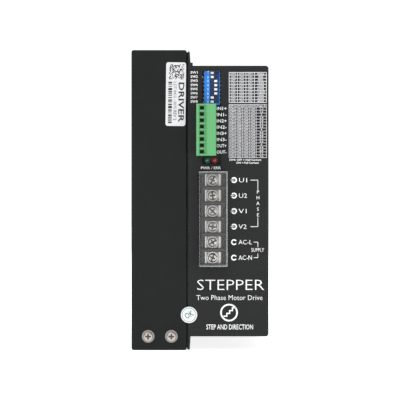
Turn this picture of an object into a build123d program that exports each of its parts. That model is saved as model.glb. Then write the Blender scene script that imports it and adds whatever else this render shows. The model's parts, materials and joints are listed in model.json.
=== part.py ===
"""Stepper driver module: a finned, fan-cooled duct on the left, a folded case of electronics on the right.

Frame: +Z up, the front faces -Y, +X is to the right as seen from the front. The origin is the centre of
the four tapped mounting holes, on the flat back of the unit. Lengths are in millimetres.

Most places are given from the unit's own corner: "left" is a distance from the left side, "depth" is a
distance behind the front face, and "height" is a distance above the bottom end.
"""

from build123d import *
import os

# ---------------------------------------------------------------- overall sizes
unit_height = 184.0
unit_depth = 126.0
duct_width = 33.9          # the tall section with the heat sink and fan
seam_gap = 0.9             # dark gap between the duct cover and the chassis wall
case_width = 48.2          # the electronics case, to the right of the chassis wall
strip_above = 9.7          # bare chassis wall above the case
strip_below = 8.5          # bare chassis wall below the case
sheet = 1.0                # folded steel sheet, chassis and covers
bend_radius = 0.9          # outside radius of the cover's folds
cover_corner = 1.4         # outside radius of the cover's corners, seen from the front
wall_corner = 0.8          # radius of the chassis wall's ends
wall_end_gap = (0.3, 0.9)  # the wall stops short of the duct's bottom and top ends
case_corner = 1.8          # outside radius of the case's folds and panel corners
slip = 0.1                 # clearance of a piece that slides or turns in another
part_gap = 0.3             # clearance between neighbours that don't touch

# ---------------------------------------------------------------- derived planes
x_left = -duct_width / 2
y_front = -unit_depth
z_base = -unit_height / 2
wall_left = duct_width + seam_gap
wall_right = wall_left + sheet
case_right = wall_right + case_width
case_bottom = strip_below
case_top = unit_height - strip_above

# ---------------------------------------------------------------- heat sink
sink_base = 5.0
sink_rear_wall = 8.0
fin_thickness = 1.6
fin_pitch = 7.5
first_fin_depth = 17.0
last_fin_margin = 11.0     # clear space in front of the rear wall
base_setback = 4.0         # the base stays behind the front, so the seam is dark
seam_lip = 12.0            # depth of the wall's lips that close the seam above and below the base
seam_lip_end = 0.05        # the lips stop short of the wall's own ends
sink_end_gap = 0.3

# rear mounting holes, tapped M4
mount_hole_radius = 2.0
mount_spacing_x = 18.0
mount_end_margin = 12.0

# ---------------------------------------------------------------- fan
fan_size = 60.0
fan_thickness = 15.0
fan_hole_pitch = 50.0
fan_bore_radius = 28.5
fan_frame_corner = 4.0
fan_hub_radius = 13.0
fan_blade_radius = 27.4
fan_blade_count = 7
fan_blade_thickness = 1.2
fan_blade_pitch_deg = 38.0
fan_shaft_radius = 1.5
fan_shaft_clearance = 0.05
guard_rings = ((8.0, 11.6), (13.6, 17.2), (19.2, 22.8), (24.8, 28.0))
guard_spoke = 3.0

# ---------------------------------------------------------------- fasteners
m3_radius = 1.5
m3_head_radius = 2.75
m3_head_height = 2.0
m3_sink_radius = 2.9       # countersunk head
m3_sink_height = 1.4
fan_gap = m3_sink_height - sheet    # the fan's frame clears the countersunk heads
washer_radius = 3.85
washer_thickness = 0.6
clearance_hole = 0.15      # added to a screw's radius where it passes freely
recess_width = 1.0
recess_depth = 1.3

# cover's two front screws and the foot that holds them
cover_screw_inset = (10.3, 9.4)   # from the duct cover's left side and from its right edge
cover_screw_height = 8.6
cover_screw_length = 6.0
cover_side_inset = 40.0    # side screws, from either end
foot_thickness = 2.0
foot_bottom = 3.0
foot_front_top = 14.0
foot_leg_top = 25.0
foot_leg_depth = 14.0
foot_screw_length = 6.0

# ---------------------------------------------------------------- circuit boards
board = 1.6
standoff_length = 7.8
standoff_flats = 5.0
board_screw_length = 6.0
front_board_margin = 1.8   # to the case's sides
power_board_front = 14.6
power_board_rear_margin = 6.0
power_board_bottom = 16.0
power_board_top_margin = 14.0
standoff_inset = 4.0

# ---------------------------------------------------------------- front openings, from the case's top and wall
window_left = 7.6          # from the chassis wall's right face
window_width = 11.5
window_top = 3.2           # below the case's top
window_height = 57.2
window_corner = 0.5
relief_tab = (1.8, 1.9)    # stub left beside the wall at the top bend

# slide switch bank, eight ways
dip_ways = 8
dip_pitch = 2.54
dip_left = 8.8
dip_width = 9.6
dip_centre_drop = 13.0     # below the case's top
dip_end = 1.2              # body beyond the end ways, both ends together
dip_height = 6.2
dip_slot_left = 3.85       # from the body's left side
dip_slot_depth = 1.2
dip_recess_depth = 0.45    # shallow recess round all the slots
dip_recess_rise = 0.2      # recess beyond the end slots
dip_recess_left = 0.5      # beyond the slots at the left, and kept as a rim at the right
dip_slider = (1.9, 1.3)    # along the travel, across it
dip_slider_proud = 0.6
dip_travel = 2.2
dip_on_ways = (1, 2, 7, 8)
dip_pin = 0.6

# pluggable signal connector, eight ways
plug_ways = 8
plug_pitch = 3.81
header_left = 8.1
header_width = 7.4
header_wall = 0.9
header_height = 8.4
plug_centre_drop = 39.5    # below the case's top
header_end = 1.5           # header beyond the end ways' centres, besides half a pin
plug_left = 3.95
plug_width = 12.05
plug_length = 31.4
plug_proud = 9.0
plug_panel_gap = 0.4
plug_tongue_depth = 6.6
plug_mouth = (4.7, 3.2)    # funnel around each wire entry: across the plug, along it
plug_mouth_depth = 1.1
plug_entry = (2.6, 2.2)
plug_entry_depth = 6.6
plug_mouth_left = 1.55
plug_entry_left = 2.15
plug_screw_radius = 1.25
plug_screw_length = 4.2
plug_screw_depth = 0.8     # below the plug's side face
plug_pin = 1.0

# status lamps
led_drop = 57.9            # below the case's top
led_left = (10.4, 15.3)
led_radius = 1.5
led_tip_depth = 1.6
led_flange_radius = 1.9
led_holder_height = 2.5

# screw terminals, six ways
terminal_ways = 6
terminal_pitch = 9.5
terminal_centre_drop = 93.8
terminal_left = 7.2
terminal_width = 14.35
terminal_floor_depth = 1.5
terminal_divider = 1.4
terminal_divider_proud = 8.0
terminal_end_wall = 0.6
terminal_chamfer = 2.0
terminal_screw_left = 13.9
terminal_plate = (9.3, 7.1)
terminal_plate_thickness = 1.0
terminal_plate_lip = 1.2
terminal_bar_thickness = 0.8
terminal_screw_radius = 1.75
terminal_head_radius = 2.75
terminal_bead = (2.95, 3.5)  # raised ring round the head, inner and outer radius
terminal_bead_proud = 0.7
terminal_head_height = 2.4
terminal_head_crown = 0.9
terminal_slot_depth = 0.9
terminal_screw_depth = 6.0
terminal_rear_wall = 1.3
terminal_rear_wall_proud = 4.0
terminal_leg = 1.2

# clear cover over the terminals
lid_wall = 1.1
lid_top = 1.1
lid_proud = 10.4
lid_side_gap = 0.25
lid_end = 0.65
lid_end_gap = 0.15
lid_hinge_proud = 2.6
lid_hinge_pin = 0.5
lid_lug_radius = 1.0
lid_right_lip = 3.3
lid_end_lip = 2.2

# ---------------------------------------------------------------- power parts
transistor_count = 8
transistor_pitch = 13.0
transistor = (4.5, 15.5, 9.8)
transistor_depth = 70.0
pad_thickness = 0.3
clamp_bar_thickness = 1.6
clamp_bar_width = 8.0
clamp_screw_length = 10.0
capacitor_radius = 11.5
transformer_gap = 15.4     # from the transformer's rear to the capacitors
transformer_length = 22.0
choke_ahead = 19.65        # from the choke's centre to the fan's lead
lead_radius = 1.2
lead_bend = 7.2
grommet_flange = 0.8
grommet_wall = 0.9

# ================================================================ helpers


def block(left, depth, height):
    """Box between two distances from the unit's left side, front face and bottom end."""
    size = (left[1] - left[0], depth[1] - depth[0], height[1] - height[0])
    centre = (x_left + sum(left) / 2, y_front + sum(depth) / 2, z_base + sum(height) / 2)
    return Pos(*centre) * Box(*size)


def point(left, depth, height):
    """Unit distances turned into a point of the frame."""
    return (x_left + left, y_front + depth, z_base + height)


def rod_x(left, depth, height, radius):
    """Round bar along X; left is a pair."""
    place = Pos(*point(sum(left) / 2, depth, height)) * Rot(0, 90, 0)
    return place * Cylinder(radius, left[1] - left[0])


def rod_y(left, depth, height, radius):
    """Round bar along Y; depth is a pair."""
    place = Pos(*point(left, sum(depth) / 2, height)) * Rot(90, 0, 0)
    return place * Cylinder(radius, depth[1] - depth[0])


def rod_z(left, depth, height, radius):
    """Round bar along Z; height is a pair."""
    place = Pos(*point(left, depth, sum(height) / 2))
    return place * Cylinder(radius, height[1] - height[0])


def spread(count, pitch, centre=0.0):
    """Evenly pitched places about a centre, lowest first."""
    return [centre + pitch * (index - (count - 1) / 2) for index in range(count)]


def joined(shapes):
    """One shape holding several separate solids."""
    return Compound(children=[solid for shape in shapes for solid in shape.solids()])


def cross_recess(radius):
    """Cross-shaped drive recess, sunk from z = 0 downwards."""
    arm = Pos(0, 0, -recess_depth / 2) * Box(radius * 1.25, recess_width, recess_depth)
    return arm + Rot(0, 0, 90) * arm


def pan_screw(length, radius=m3_radius, head=m3_head_radius, height=m3_head_height):
    """Pan-head screw along -Z, with the head's underside at z = 0."""
    top = Pos(0, 0, height / 2) * Cylinder(head, height)
    top = fillet(top.edges().group_by(Axis.Z)[-1], height * 0.4)
    top -= Pos(0, 0, height) * cross_recess(head)
    return top + Pos(0, 0, -length / 2) * Cylinder(radius, length)


def sink_cone(height=m3_sink_height):
    """Cone of a countersunk head, with its wide face at z = 0."""
    return Pos(0, 0, -height / 2) * Cone(m3_radius, m3_sink_radius, height)


def sink_screw(length):
    """Countersunk screw along -Z, flush at z = 0."""
    body = sink_cone() + Pos(0, 0, -length / 2) * Cylinder(m3_radius, length)
    return body - cross_recess(m3_sink_radius * 0.8)


to_left = Rot(0, -90, 0)       # turns a screw's head from +Z to -X
to_right = Rot(0, 90, 0)
to_front = Rot(90, 0, 0)
to_rear = Rot(-90, 0, 0)
to_bottom = Rot(180, 0, 0)

# ================================================================ places used by more than one piece

cover_screw_left = (cover_screw_inset[0], duct_width - cover_screw_inset[1])
sink_left = wall_left - sink_base
sink_bottom = sheet + sink_end_gap
sink_top = unit_height - sheet - sink_end_gap
fin_tip = sheet + sink_end_gap
fin_room = unit_depth - sink_rear_wall - last_fin_margin - first_fin_depth
fin_count = int(fin_room // fin_pitch) + 1
fin_depths = [first_fin_depth + fin_pitch * index for index in range(fin_count)]

fan_left = sheet + fan_gap
fan_right = fan_left + fan_thickness
fan_depth = unit_depth / 2
fan_height = unit_height / 2

mount_spacing_z = unit_height - 2 * mount_end_margin
mount_places = [
    (duct_width / 2 + x, unit_height / 2 + z)
    for x in (-mount_spacing_x / 2, mount_spacing_x / 2)
    for z in (-mount_spacing_z / 2, mount_spacing_z / 2)
]
cover_side_heights = (cover_side_inset, unit_height - cover_side_inset)
cover_side_depth = unit_depth - sink_rear_wall / 2

front_board_depth = sheet + standoff_length
power_board_left = wall_right + standoff_length
power_board_right = power_board_left + board
power_board_rear = unit_depth - power_board_rear_margin
power_board_top = unit_height - power_board_top_margin - strip_above
room_right = case_right - sheet

front_board_left = wall_right + front_board_margin
front_board_right = case_right - sheet - front_board_margin
front_board_bottom = case_bottom + sheet + front_board_margin
front_board_top = case_top - sheet - front_board_margin

front_standoffs = [
    (left, height)
    for left in (front_board_left + standoff_inset - 0.6, front_board_right - standoff_inset)
    for height in (front_board_bottom + standoff_inset, front_board_top - standoff_inset)
]
power_standoffs = [
    (depth, height)
    for depth in (power_board_front + standoff_inset, power_board_rear - standoff_inset)
    for height in (power_board_bottom + standoff_inset, power_board_top - standoff_inset)
]
chassis_screw_places = [
    (depth, height)
    for depth in (first_fin_depth + 12.0, unit_depth - 24.0)
    for height in (case_bottom + 5.0, power_board_top + 3.0)
]

dip_body_left = wall_right + dip_left
dip_body_right = dip_body_left + dip_width
dip_centre = case_top - dip_centre_drop
dip_rows = spread(dip_ways, dip_pitch, dip_centre)[::-1]
dip_face = front_board_depth - dip_height
dip_half_length = dip_ways * dip_pitch / 2 + dip_end / 2
dip_slot_start = dip_body_left + dip_slot_left
dip_slot_length = dip_slider[0] + dip_travel + 2 * slip

plug_centre = case_top - plug_centre_drop
plug_rows = spread(plug_ways, plug_pitch, plug_centre)[::-1]
plug_body_left = wall_right + plug_left
plug_body_right = plug_body_left + plug_width
header_box_left = wall_right + header_left
header_half_length = (plug_ways - 1) * plug_pitch / 2 + header_end
header_face = front_board_depth - header_height
tongue_left = header_box_left + header_wall + slip
tongue_right = header_box_left + header_width - header_wall - slip
tongue_half = header_half_length - header_wall - slip
pin_left = (tongue_left + tongue_right) / 2

terminal_box_left = wall_right + terminal_left
terminal_box_right = terminal_box_left + terminal_width
terminal_centre = case_top - terminal_centre_drop
terminal_rows = spread(terminal_ways, terminal_pitch, terminal_centre)[::-1]
terminal_inner_half = (terminal_ways - 1) * terminal_pitch / 2 + terminal_plate[1] / 2 + 0.2
terminal_half = terminal_inner_half + terminal_end_wall
screw_line = wall_right + terminal_screw_left
plate_rear = terminal_floor_depth - terminal_bar_thickness
plate_front = plate_rear - terminal_plate_thickness
terminal_leg_left = screw_line + 2.6

lid_left = terminal_box_left - lid_side_gap - lid_wall
lid_right = terminal_box_right + lid_side_gap + lid_wall
lid_half = terminal_half + lid_end_gap + lid_end
hinge_left = lid_left + lid_wall / 2
hinge_depth = -lid_hinge_proud

pad_left = wall_left
transistor_left = pad_left + pad_thickness
transistor_right = transistor_left + transistor[0]
transistor_heights = spread(transistor_count, transistor_pitch, unit_height / 2)
pad_half = transistor_count * transistor_pitch / 2 + 1.0
pad_depths = (transistor_depth - 2.0, transistor_depth + transistor[1] + 2.0)
clamp_left = transistor_right
clamp_right = clamp_left + clamp_bar_thickness
clamp_depth = transistor_depth + transistor[1] / 2
clamp_heights = [unit_height / 2 + step * transistor_pitch for step in (-3, 0, 3)]

capacitor_depth = power_board_rear - capacitor_radius - 9.0
transformer_rear = capacitor_depth - capacitor_radius - transformer_gap

lead_gap = max(depth for depth in fin_depths if depth < fan_depth - fin_pitch)
lead_depth = lead_gap + fin_thickness / 2 + (fin_pitch - fin_thickness) / 2
lead_height = power_board_top + 5.0
lead_left = fan_right - 3.0
lead_end_left = power_board_right + 5.5
grommet_hole = lead_radius + grommet_wall

# ================================================================ duct


def heat_sink():
    """Finned extrusion: base, rear mounting wall and upright fins, milled out for the fan."""
    ends = (sink_bottom, sink_top)
    sink = block((sink_left, wall_left), (base_setback, unit_depth), ends)
    sink += block((fin_tip, wall_left), (unit_depth - sink_rear_wall, unit_depth), ends)
    for depth in fin_depths:
        half = fin_thickness / 2
        sink += block((fin_tip, sink_left), (depth - half, depth + half), ends)
    half = fan_size / 2 + 1.0
    sink -= block(
        (0, fan_right + 1.0),
        (fan_depth - half, fan_depth + half),
        (fan_height - half, fan_height + half),
    )
    for left, height in mount_places:
        sink -= rod_y(left, (unit_depth - sink_rear_wall - 1, unit_depth + 1), height, mount_hole_radius)
    for height in cover_side_heights:
        sink -= rod_x((0, cover_screw_length + 1.0), cover_side_depth, height, m3_radius)
    for depth, height in foot_screws():
        sink -= rod_x((sink_left - 1, sink_left + foot_screw_length - foot_thickness), depth, height, m3_radius)
    for depth, height in chassis_screw_places:
        sink -= rod_x((wall_left - 4.0, wall_left + 1), depth, height, m3_radius)
    for height in clamp_heights:
        sink -= rod_x((clamp_right - clamp_screw_length, wall_left + 1), clamp_depth, height, m3_radius)
    sink -= rod_x((sink_left - 1, wall_left + 1), lead_depth, lead_height, grommet_hole)
    return sink


def foot_screws():
    """Depth and height of the foot's two screws."""
    depth = (sheet + foot_thickness + foot_leg_depth) / 2
    return [(depth, foot_bottom + 5.5), (depth, foot_leg_top - 5.5)]


def cover_foot():
    """Angle on the heat sink's base that the cover's front screws are tapped into."""
    front = block(
        (cover_screw_left[0] - 5.0, sink_left),
        (sheet, sheet + foot_thickness),
        (foot_bottom, foot_front_top),
    )
    leg = block(
        (sink_left - foot_thickness, sink_left),
        (base_setback + 0.2, foot_leg_depth),
        (foot_bottom, foot_leg_top),
    )
    foot = front + leg
    for left in cover_screw_left:
        foot -= rod_y(left, (0, sheet + foot_thickness + 1), cover_screw_height, m3_radius)
    for depth, height in foot_screws():
        foot -= rod_x((sink_left - foot_thickness - 1, sink_left + 1), depth, height, m3_radius + clearance_hole)
    return foot


def cover_foot_screws():
    """Two pan-head screws from the duct into the base."""
    left = sink_left - foot_thickness
    return joined([
        Pos(*point(left, depth, height)) * to_left * pan_screw(foot_screw_length)
        for depth, height in foot_screws()
    ])


def guard_opening():
    """Ring slots of the finger guard, with four spokes left standing, around the fan's axis."""
    rings = None
    for inner, outer in guard_rings:
        ring = rod_x((-1, sheet + 1), fan_depth, fan_height, outer)
        ring -= rod_x((-2, sheet + 2), fan_depth, fan_height, inner)
        rings = ring if rings is None else rings + ring
    reach = fan_bore_radius + 2
    half = guard_spoke / 2
    centre = Pos(*point(0, fan_depth, fan_height))
    for turn in (45, 135):
        rings -= centre * Rot(turn, 0, 0) * Box(10, 2 * reach, 2 * half)
    return rings


def fan_hole_places():
    """Depth and height of the fan's four fixing holes."""
    half = fan_hole_pitch / 2
    return [(fan_depth + y, fan_height + z) for y in (-half, half) for z in (-half, half)]


def fan_cover():
    """Folded cover of the duct: front, left side and slotted ends, open at the seam and the rear."""
    outer = block((0, duct_width), (0, unit_depth - 0.5), (0, unit_height))
    outer = fillet(outer.edges().filter_by(Axis.Y), cover_corner)
    outer = fillet(outer.edges().group_by(Axis.Y)[0], bend_radius)
    cover = outer - block(
        (sheet, duct_width + 1),
        (sheet, unit_depth + 1),
        (sheet, unit_height - sheet),
    )
    cover -= guard_opening()
    slot_left, slot_right = 6.0, sink_left - 2.0
    for depth in fin_depths[:-1]:
        middle = depth + fin_pitch / 2
        for ends in ((-1, sheet + 1), (unit_height - sheet - 1, unit_height + 1)):
            cover -= block((slot_left, slot_right), (middle - 1.6, middle + 1.6), ends)
    for left in cover_screw_left:
        cover -= rod_y(left, (-1, sheet + 1), cover_screw_height, m3_radius + clearance_hole)
    for height in cover_side_heights:
        cover -= rod_x((-1, sheet + 1), cover_side_depth, height, m3_radius + clearance_hole)
    for depth, height in fan_hole_places():
        cover -= Pos(*point(0, depth, height)) * to_left * sink_cone()
        cover -= rod_x((-1, sheet + 1), depth, height, m3_radius)
    return cover


def cover_fixings():
    """Screws and washers of the cover: two in front, two at the left side."""
    seats = [Pos(*point(left, 0, cover_screw_height)) * to_front for left in cover_screw_left]
    seats += [Pos(*point(0, cover_side_depth, height)) * to_left for height in cover_side_heights]
    ring = Cylinder(washer_radius, washer_thickness) - Cylinder(m3_radius + clearance_hole, 2)
    washer = Pos(0, 0, washer_thickness / 2) * ring
    screw = Pos(0, 0, washer_thickness) * pan_screw(cover_screw_length + washer_thickness)
    return joined([seat * screw for seat in seats]), joined([seat * washer for seat in seats])


# ================================================================ fan


def fan_frame():
    """Square frame with four struts to the motor seat at the inner side."""
    half = fan_size / 2
    frame = block(
        (fan_left, fan_right),
        (fan_depth - half, fan_depth + half),
        (fan_height - half, fan_height + half),
    )
    frame = fillet(frame.edges().filter_by(Axis.X), fan_frame_corner)
    frame -= rod_x((fan_left - 1, fan_right + 1), fan_depth, fan_height, fan_bore_radius)
    seat = rod_x((fan_right - 3.0, fan_right), fan_depth, fan_height, fan_hub_radius)
    centre = Pos(*point(fan_right - 1.5, fan_depth, fan_height))
    for turn in (45, 135):
        seat += centre * Rot(turn, 0, 0) * Box(3.0, 2 * fan_bore_radius + 1, 3.0)
    bearing = rod_x((fan_left + 6.0, fan_right), fan_depth, fan_height, 3.5)
    frame = frame + seat + bearing
    frame -= rod_x(
        (fan_left + 5.0, fan_right - 0.8), fan_depth, fan_height, fan_shaft_radius + fan_shaft_clearance
    )
    for depth, height in fan_hole_places():
        frame -= rod_x((fan_left - 1, fan_right + 1), depth, height, m3_radius)
    return frame


def fan_rotor():
    """Hub cup with its shaft and swept blades."""
    front, rear = fan_left + 1.2, fan_right - 3.6
    hub = rod_x((front, rear), fan_depth, fan_height, fan_hub_radius)
    hub -= rod_x((front + 1.5, rear + 1), fan_depth, fan_height, fan_hub_radius - 1.5)
    shaft = rod_x((front, fan_right - 1.4), fan_depth, fan_height, fan_shaft_radius)
    centre = Pos(*point((front + rear) / 2, fan_depth, fan_height))
    span = fan_blade_radius + 1.0 - (fan_hub_radius - 0.8)
    blade = Pos(0, 0, fan_hub_radius - 0.8 + span / 2) * Rot(0, 0, fan_blade_pitch_deg)
    blade *= Box(fan_blade_thickness, 15.0, span)
    limit = rod_x((front, rear), fan_depth, fan_height, fan_blade_radius)
    rotor = hub + shaft
    for index in range(fan_blade_count):
        turned = centre * Rot(index * 360 / fan_blade_count, 0, 0) * blade
        rotor += turned & limit
    return rotor


def fan_screws():
    """Four countersunk screws through the cover into the frame."""
    return joined([
        Pos(*point(0, depth, height)) * to_left * sink_screw(10.0)
        for depth, height in fan_hole_places()
    ])


def fan_lead_and_plug():
    """Sleeved lead from the fan, up a channel, through the grommet to its plug on the power board."""
    start = point(lead_left, lead_depth, fan_height + fan_size / 2 + 0.5)
    turn = point(lead_left, lead_depth, lead_height)
    over = point(lead_end_left, lead_depth, lead_height)
    end = point(lead_end_left, lead_depth, lead_height - lead_bend - 4.0)
    path = FilletPolyline(start, turn, over, end, radius=lead_bend)
    lead = sweep(Plane(start, z_dir=(0, 0, 1)) * Circle(lead_radius), path=path)
    foot = lead_height - lead_bend - 4.0
    plug = block(
        (power_board_right, lead_end_left + 2.5),
        (lead_depth - 3.8, lead_depth + 3.8),
        (foot - 8.0, foot),
    )
    return lead, plug


def lead_grommet():
    """Rubber bush that lines the lead's hole through the base and the chassis wall."""
    bush = rod_x((sink_left, wall_right), lead_depth, lead_height, grommet_hole)
    flange = grommet_hole + grommet_wall * 0.75
    bush += rod_x((sink_left - grommet_flange, sink_left), lead_depth, lead_height, flange)
    bush += rod_x((wall_right, wall_right + grommet_flange), lead_depth, lead_height, flange)
    return bush - rod_x((sink_left - 2, wall_right + 2), lead_depth, lead_height, lead_radius)


# ================================================================ case


def case_tabs():
    """Seats of the case's screws: (tab box, screw place, turn) on the chassis's inner edges."""
    middle = (wall_right + case_right) / 2 + 6.0
    side = (case_bottom + case_top) / 2
    reach = 10.0
    tabs = []
    for depths in ((sheet, sheet + reach), (unit_depth - sheet - reach, unit_depth - sheet)):
        depth = sum(depths) / 2 + (0.8 if depths[0] == sheet else -0.8)
        width = (middle - 6.0, middle + 6.0)
        top = block(width, depths, (case_top - 2 * sheet, case_top - sheet))
        tabs.append((top, point(middle, depth, case_top), Rot(0, 0, 0)))
        bottom = block(width, depths, (case_bottom + sheet, case_bottom + 2 * sheet))
        tabs.append((bottom, point(middle, depth, case_bottom), to_bottom))
        right = block((room_right - sheet, room_right), depths, (side - 6.0, side + 6.0))
        tabs.append((right, point(case_right, depth, side), to_right))
    return tabs


def rear_vents():
    """Slots in the rear panel, over the electronics."""
    slots = []
    for height in spread(7, 9.0, (case_bottom + case_top) / 2):
        slots.append(block(
            (wall_right + 10.0, case_right - 10.0),
            (unit_depth - sheet - 1, unit_depth + 1),
            (height - 1.5, height + 1.5),
        ))
    return slots


def chassis():
    """Folded chassis: full-height wall at the seam, front panel and rear panel."""
    wall = block(
        (wall_left, wall_right),
        (0, unit_depth),
        (wall_end_gap[0], unit_height - wall_end_gap[1]),
    )
    wall = fillet(wall.edges().filter_by(Axis.Y).group_by(Axis.X)[-1], wall_corner)
    lips = (
        (wall_end_gap[0] + seam_lip_end, sink_bottom - slip),
        (sink_top + slip, unit_height - wall_end_gap[1] - seam_lip_end),
    )
    for ends in lips:
        wall += block((duct_width + slip, wall_left), (base_setback, base_setback + seam_lip), ends)
    ends = (case_bottom, case_top)
    front = block((wall_left, case_right), (0, sheet), ends)
    front = fillet(front.edges().filter_by(Axis.Y).group_by(Axis.X)[-1], case_corner)
    rear = block((wall_left, case_right), (unit_depth - sheet, unit_depth), ends)
    rear = fillet(rear.edges().filter_by(Axis.Y).group_by(Axis.X)[-1], case_corner)
    body = wall + front + rear
    body += block(
        (wall_right - 0.5, wall_right + relief_tab[0]),
        (0, sheet),
        (case_top - 0.5, case_top + relief_tab[1]),
    )
    for tab, place, turn in case_tabs():
        body += tab
        body -= Pos(*place) * turn * sink_cone()
        body -= Pos(*place) * turn * Pos(0, 0, -2) * Cylinder(m3_radius, 5)
    window = block(
        (wall_right + window_left, wall_right + window_left + window_width),
        (-1, sheet + 1),
        (case_top - window_top - window_height, case_top - window_top),
    )
    body -= fillet(window.edges().filter_by(Axis.Y), window_corner)
    body -= block(
        (terminal_box_left - part_gap, terminal_box_right + part_gap),
        (-1, sheet + 1),
        (terminal_centre - terminal_half - part_gap, terminal_centre + terminal_half + part_gap),
    )
    for slot in rear_vents():
        body -= slot
    body -= block(
        (wall_left - 1, wall_right + 1),
        (pad_depths[0] - part_gap, pad_depths[1] + part_gap),
        (unit_height / 2 - pad_half - part_gap, unit_height / 2 + pad_half + part_gap),
    )
    body -= rod_x((wall_left - 1, wall_right + 1), lead_depth, lead_height, grommet_hole)
    for depth, height in chassis_screw_places:
        body -= rod_x((wall_left - 1, wall_right + 1), depth, height, m3_radius + clearance_hole)
    return body


def case_shell():
    """Folded shell: top, right side and bottom, with ventilation slots."""
    depths = (sheet, unit_depth - sheet)
    shell = block((wall_right, case_right), depths, (case_bottom, case_top))
    shell = fillet(shell.edges().filter_by(Axis.Y).group_by(Axis.X)[-1], case_corner)
    inner = block(
        (wall_right - 1, room_right),
        (depths[0] - 1, depths[1] + 1),
        (case_bottom + sheet, case_top - sheet),
    )
    inner = fillet(inner.edges().filter_by(Axis.Y).group_by(Axis.X)[-1], case_corner - sheet)
    shell -= inner
    slot_depths = spread(9, 8.0, unit_depth / 2)
    for depth in slot_depths:
        for ends in ((case_bottom - 1, case_bottom + 2), (case_top - 2, case_top + 1)):
            shell -= block((wall_right + 12.0, case_right - 10.0), (depth - 1.5, depth + 1.5), ends)
        for drop in (28.0, 112.0):
            shell -= block((room_right - 1, case_right + 1), (depth - 1.5, depth + 1.5),
                           (case_top - drop - 26.0, case_top - drop))
    for tab, place, turn in case_tabs():
        shell -= Pos(*place) * turn * sink_cone()
        shell -= Pos(*place) * turn * Pos(0, 0, -0.5) * Cylinder(m3_radius, 2)
    return shell


def case_screws():
    """Six countersunk screws that hold the shell on the chassis."""
    return joined([Pos(*place) * turn * sink_screw(4.0) for tab, place, turn in case_tabs()])


def chassis_screws():
    """Four pan-head screws that pull the chassis wall onto the heat sink."""
    return joined([
        Pos(*point(wall_right, depth, height)) * to_right * pan_screw(sheet + 4.0)
        for depth, height in chassis_screw_places
    ])


# ================================================================ boards


def front_board():
    """Control board, parallel to the front panel."""
    plate = block(
        (front_board_left, front_board_right),
        (front_board_depth, front_board_depth + board),
        (front_board_bottom, front_board_top),
    )
    for left, height in front_standoffs:
        plate -= rod_y(left, (front_board_depth - 1, front_board_depth + board + 1), height,
                       m3_radius + clearance_hole)
    for height in terminal_rows:
        plate -= terminal_leg_block(height, slip, front_board_depth - 1, front_board_depth + board + 1)
    return plate


def power_board():
    """Power board, parallel to the chassis wall."""
    plate = block(
        (power_board_left, power_board_right),
        (power_board_front, power_board_rear),
        (power_board_bottom, power_board_top),
    )
    for depth, height in power_standoffs:
        plate -= rod_x((power_board_left - 1, power_board_right + 1), depth, height,
                       m3_radius + clearance_hole)
    return plate


def board_mounting():
    """Hexagonal standoffs clinched to the chassis, and the screws that hold the boards on them."""
    seats = [Pos(*point(left, sheet, height)) * to_rear for left, height in front_standoffs]
    seats += [Pos(*point(wall_right, depth, height)) * to_right for depth, height in power_standoffs]
    pillar = extrude(RegularPolygon(standoff_flats / 2, 6, major_radius=False), standoff_length)
    hole = board_screw_length - board
    pillar -= Pos(0, 0, standoff_length - hole / 2) * Cylinder(m3_radius, hole)
    screw = Pos(0, 0, standoff_length + board) * pan_screw(board_screw_length)
    return joined([seat * pillar for seat in seats]), joined([seat * screw for seat in seats])


# ================================================================ slide switches


def dip_body():
    """Switch bank's housing, with one slot for each way."""
    body = block(
        (dip_body_left, dip_body_right),
        (dip_face, front_board_depth),
        (dip_centre - dip_half_length, dip_centre + dip_half_length),
    )
    half = dip_slider[1] / 2 + slip
    for height in dip_rows:
        body -= block(
            (dip_slot_start, dip_slot_start + dip_slot_length),
            (dip_face - 1, dip_face + dip_slot_depth),
            (height - half, height + half),
        )
    return body - block(
        (dip_slot_start - dip_recess_left, dip_body_right - dip_recess_left),
        (dip_face - 1, dip_face + dip_recess_depth),
        (dip_rows[-1] - half - dip_recess_rise, dip_rows[0] + half + dip_recess_rise),
    )


def dip_slider_piece(way):
    """One slider, left at ON and right at OFF."""
    start = dip_slot_start + slip
    if way not in dip_on_ways:
        start += dip_travel
    height = dip_rows[way - 1]
    half = dip_slider[1] / 2
    slider = block(
        (start, start + dip_slider[0]),
        (dip_face - dip_slider_proud, dip_face + dip_slot_depth - slip),
        (height - half, height + half),
    )
    return chamfer(slider.edges().group_by(Axis.Y)[0], 0.15)


def dip_pins():
    """Two rows of tinned pins beside the switch body, down to the board."""
    pins = []
    for height in dip_rows:
        for left, right in ((dip_body_left - 0.65, dip_body_left), (dip_body_right, dip_body_right + 0.65)):
            pins.append(block(
                (left, right),
                (dip_face + 3.4, front_board_depth),
                (height - dip_pin / 2, height + dip_pin / 2),
            ))
    return joined(pins)


# ================================================================ signal connector


def signal_header():
    """Board half of the connector: an open box around its pins."""
    header = block(
        (header_box_left, header_box_left + header_width),
        (header_face, front_board_depth),
        (plug_centre - header_half_length, plug_centre + header_half_length),
    )
    header -= block(
        (tongue_left - slip, tongue_right + slip),
        (header_face - 1, front_board_depth - header_wall),
        (plug_centre - tongue_half - slip, plug_centre + tongue_half + slip),
    )
    for height in plug_rows:
        header -= pin_block(height, plug_pin, front_board_depth - 2, front_board_depth + 1)
    return header


def pin_block(height, width, front, rear):
    """Square bar along Y at one way's pin."""
    half = width / 2
    return block((pin_left - half, pin_left + half), (front, rear), (height - half, height + half))


def header_pins():
    """Eight square pins standing in the header."""
    front = header_face + 1.4
    return joined([pin_block(height, plug_pin, front, front_board_depth) for height in plug_rows])


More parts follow.
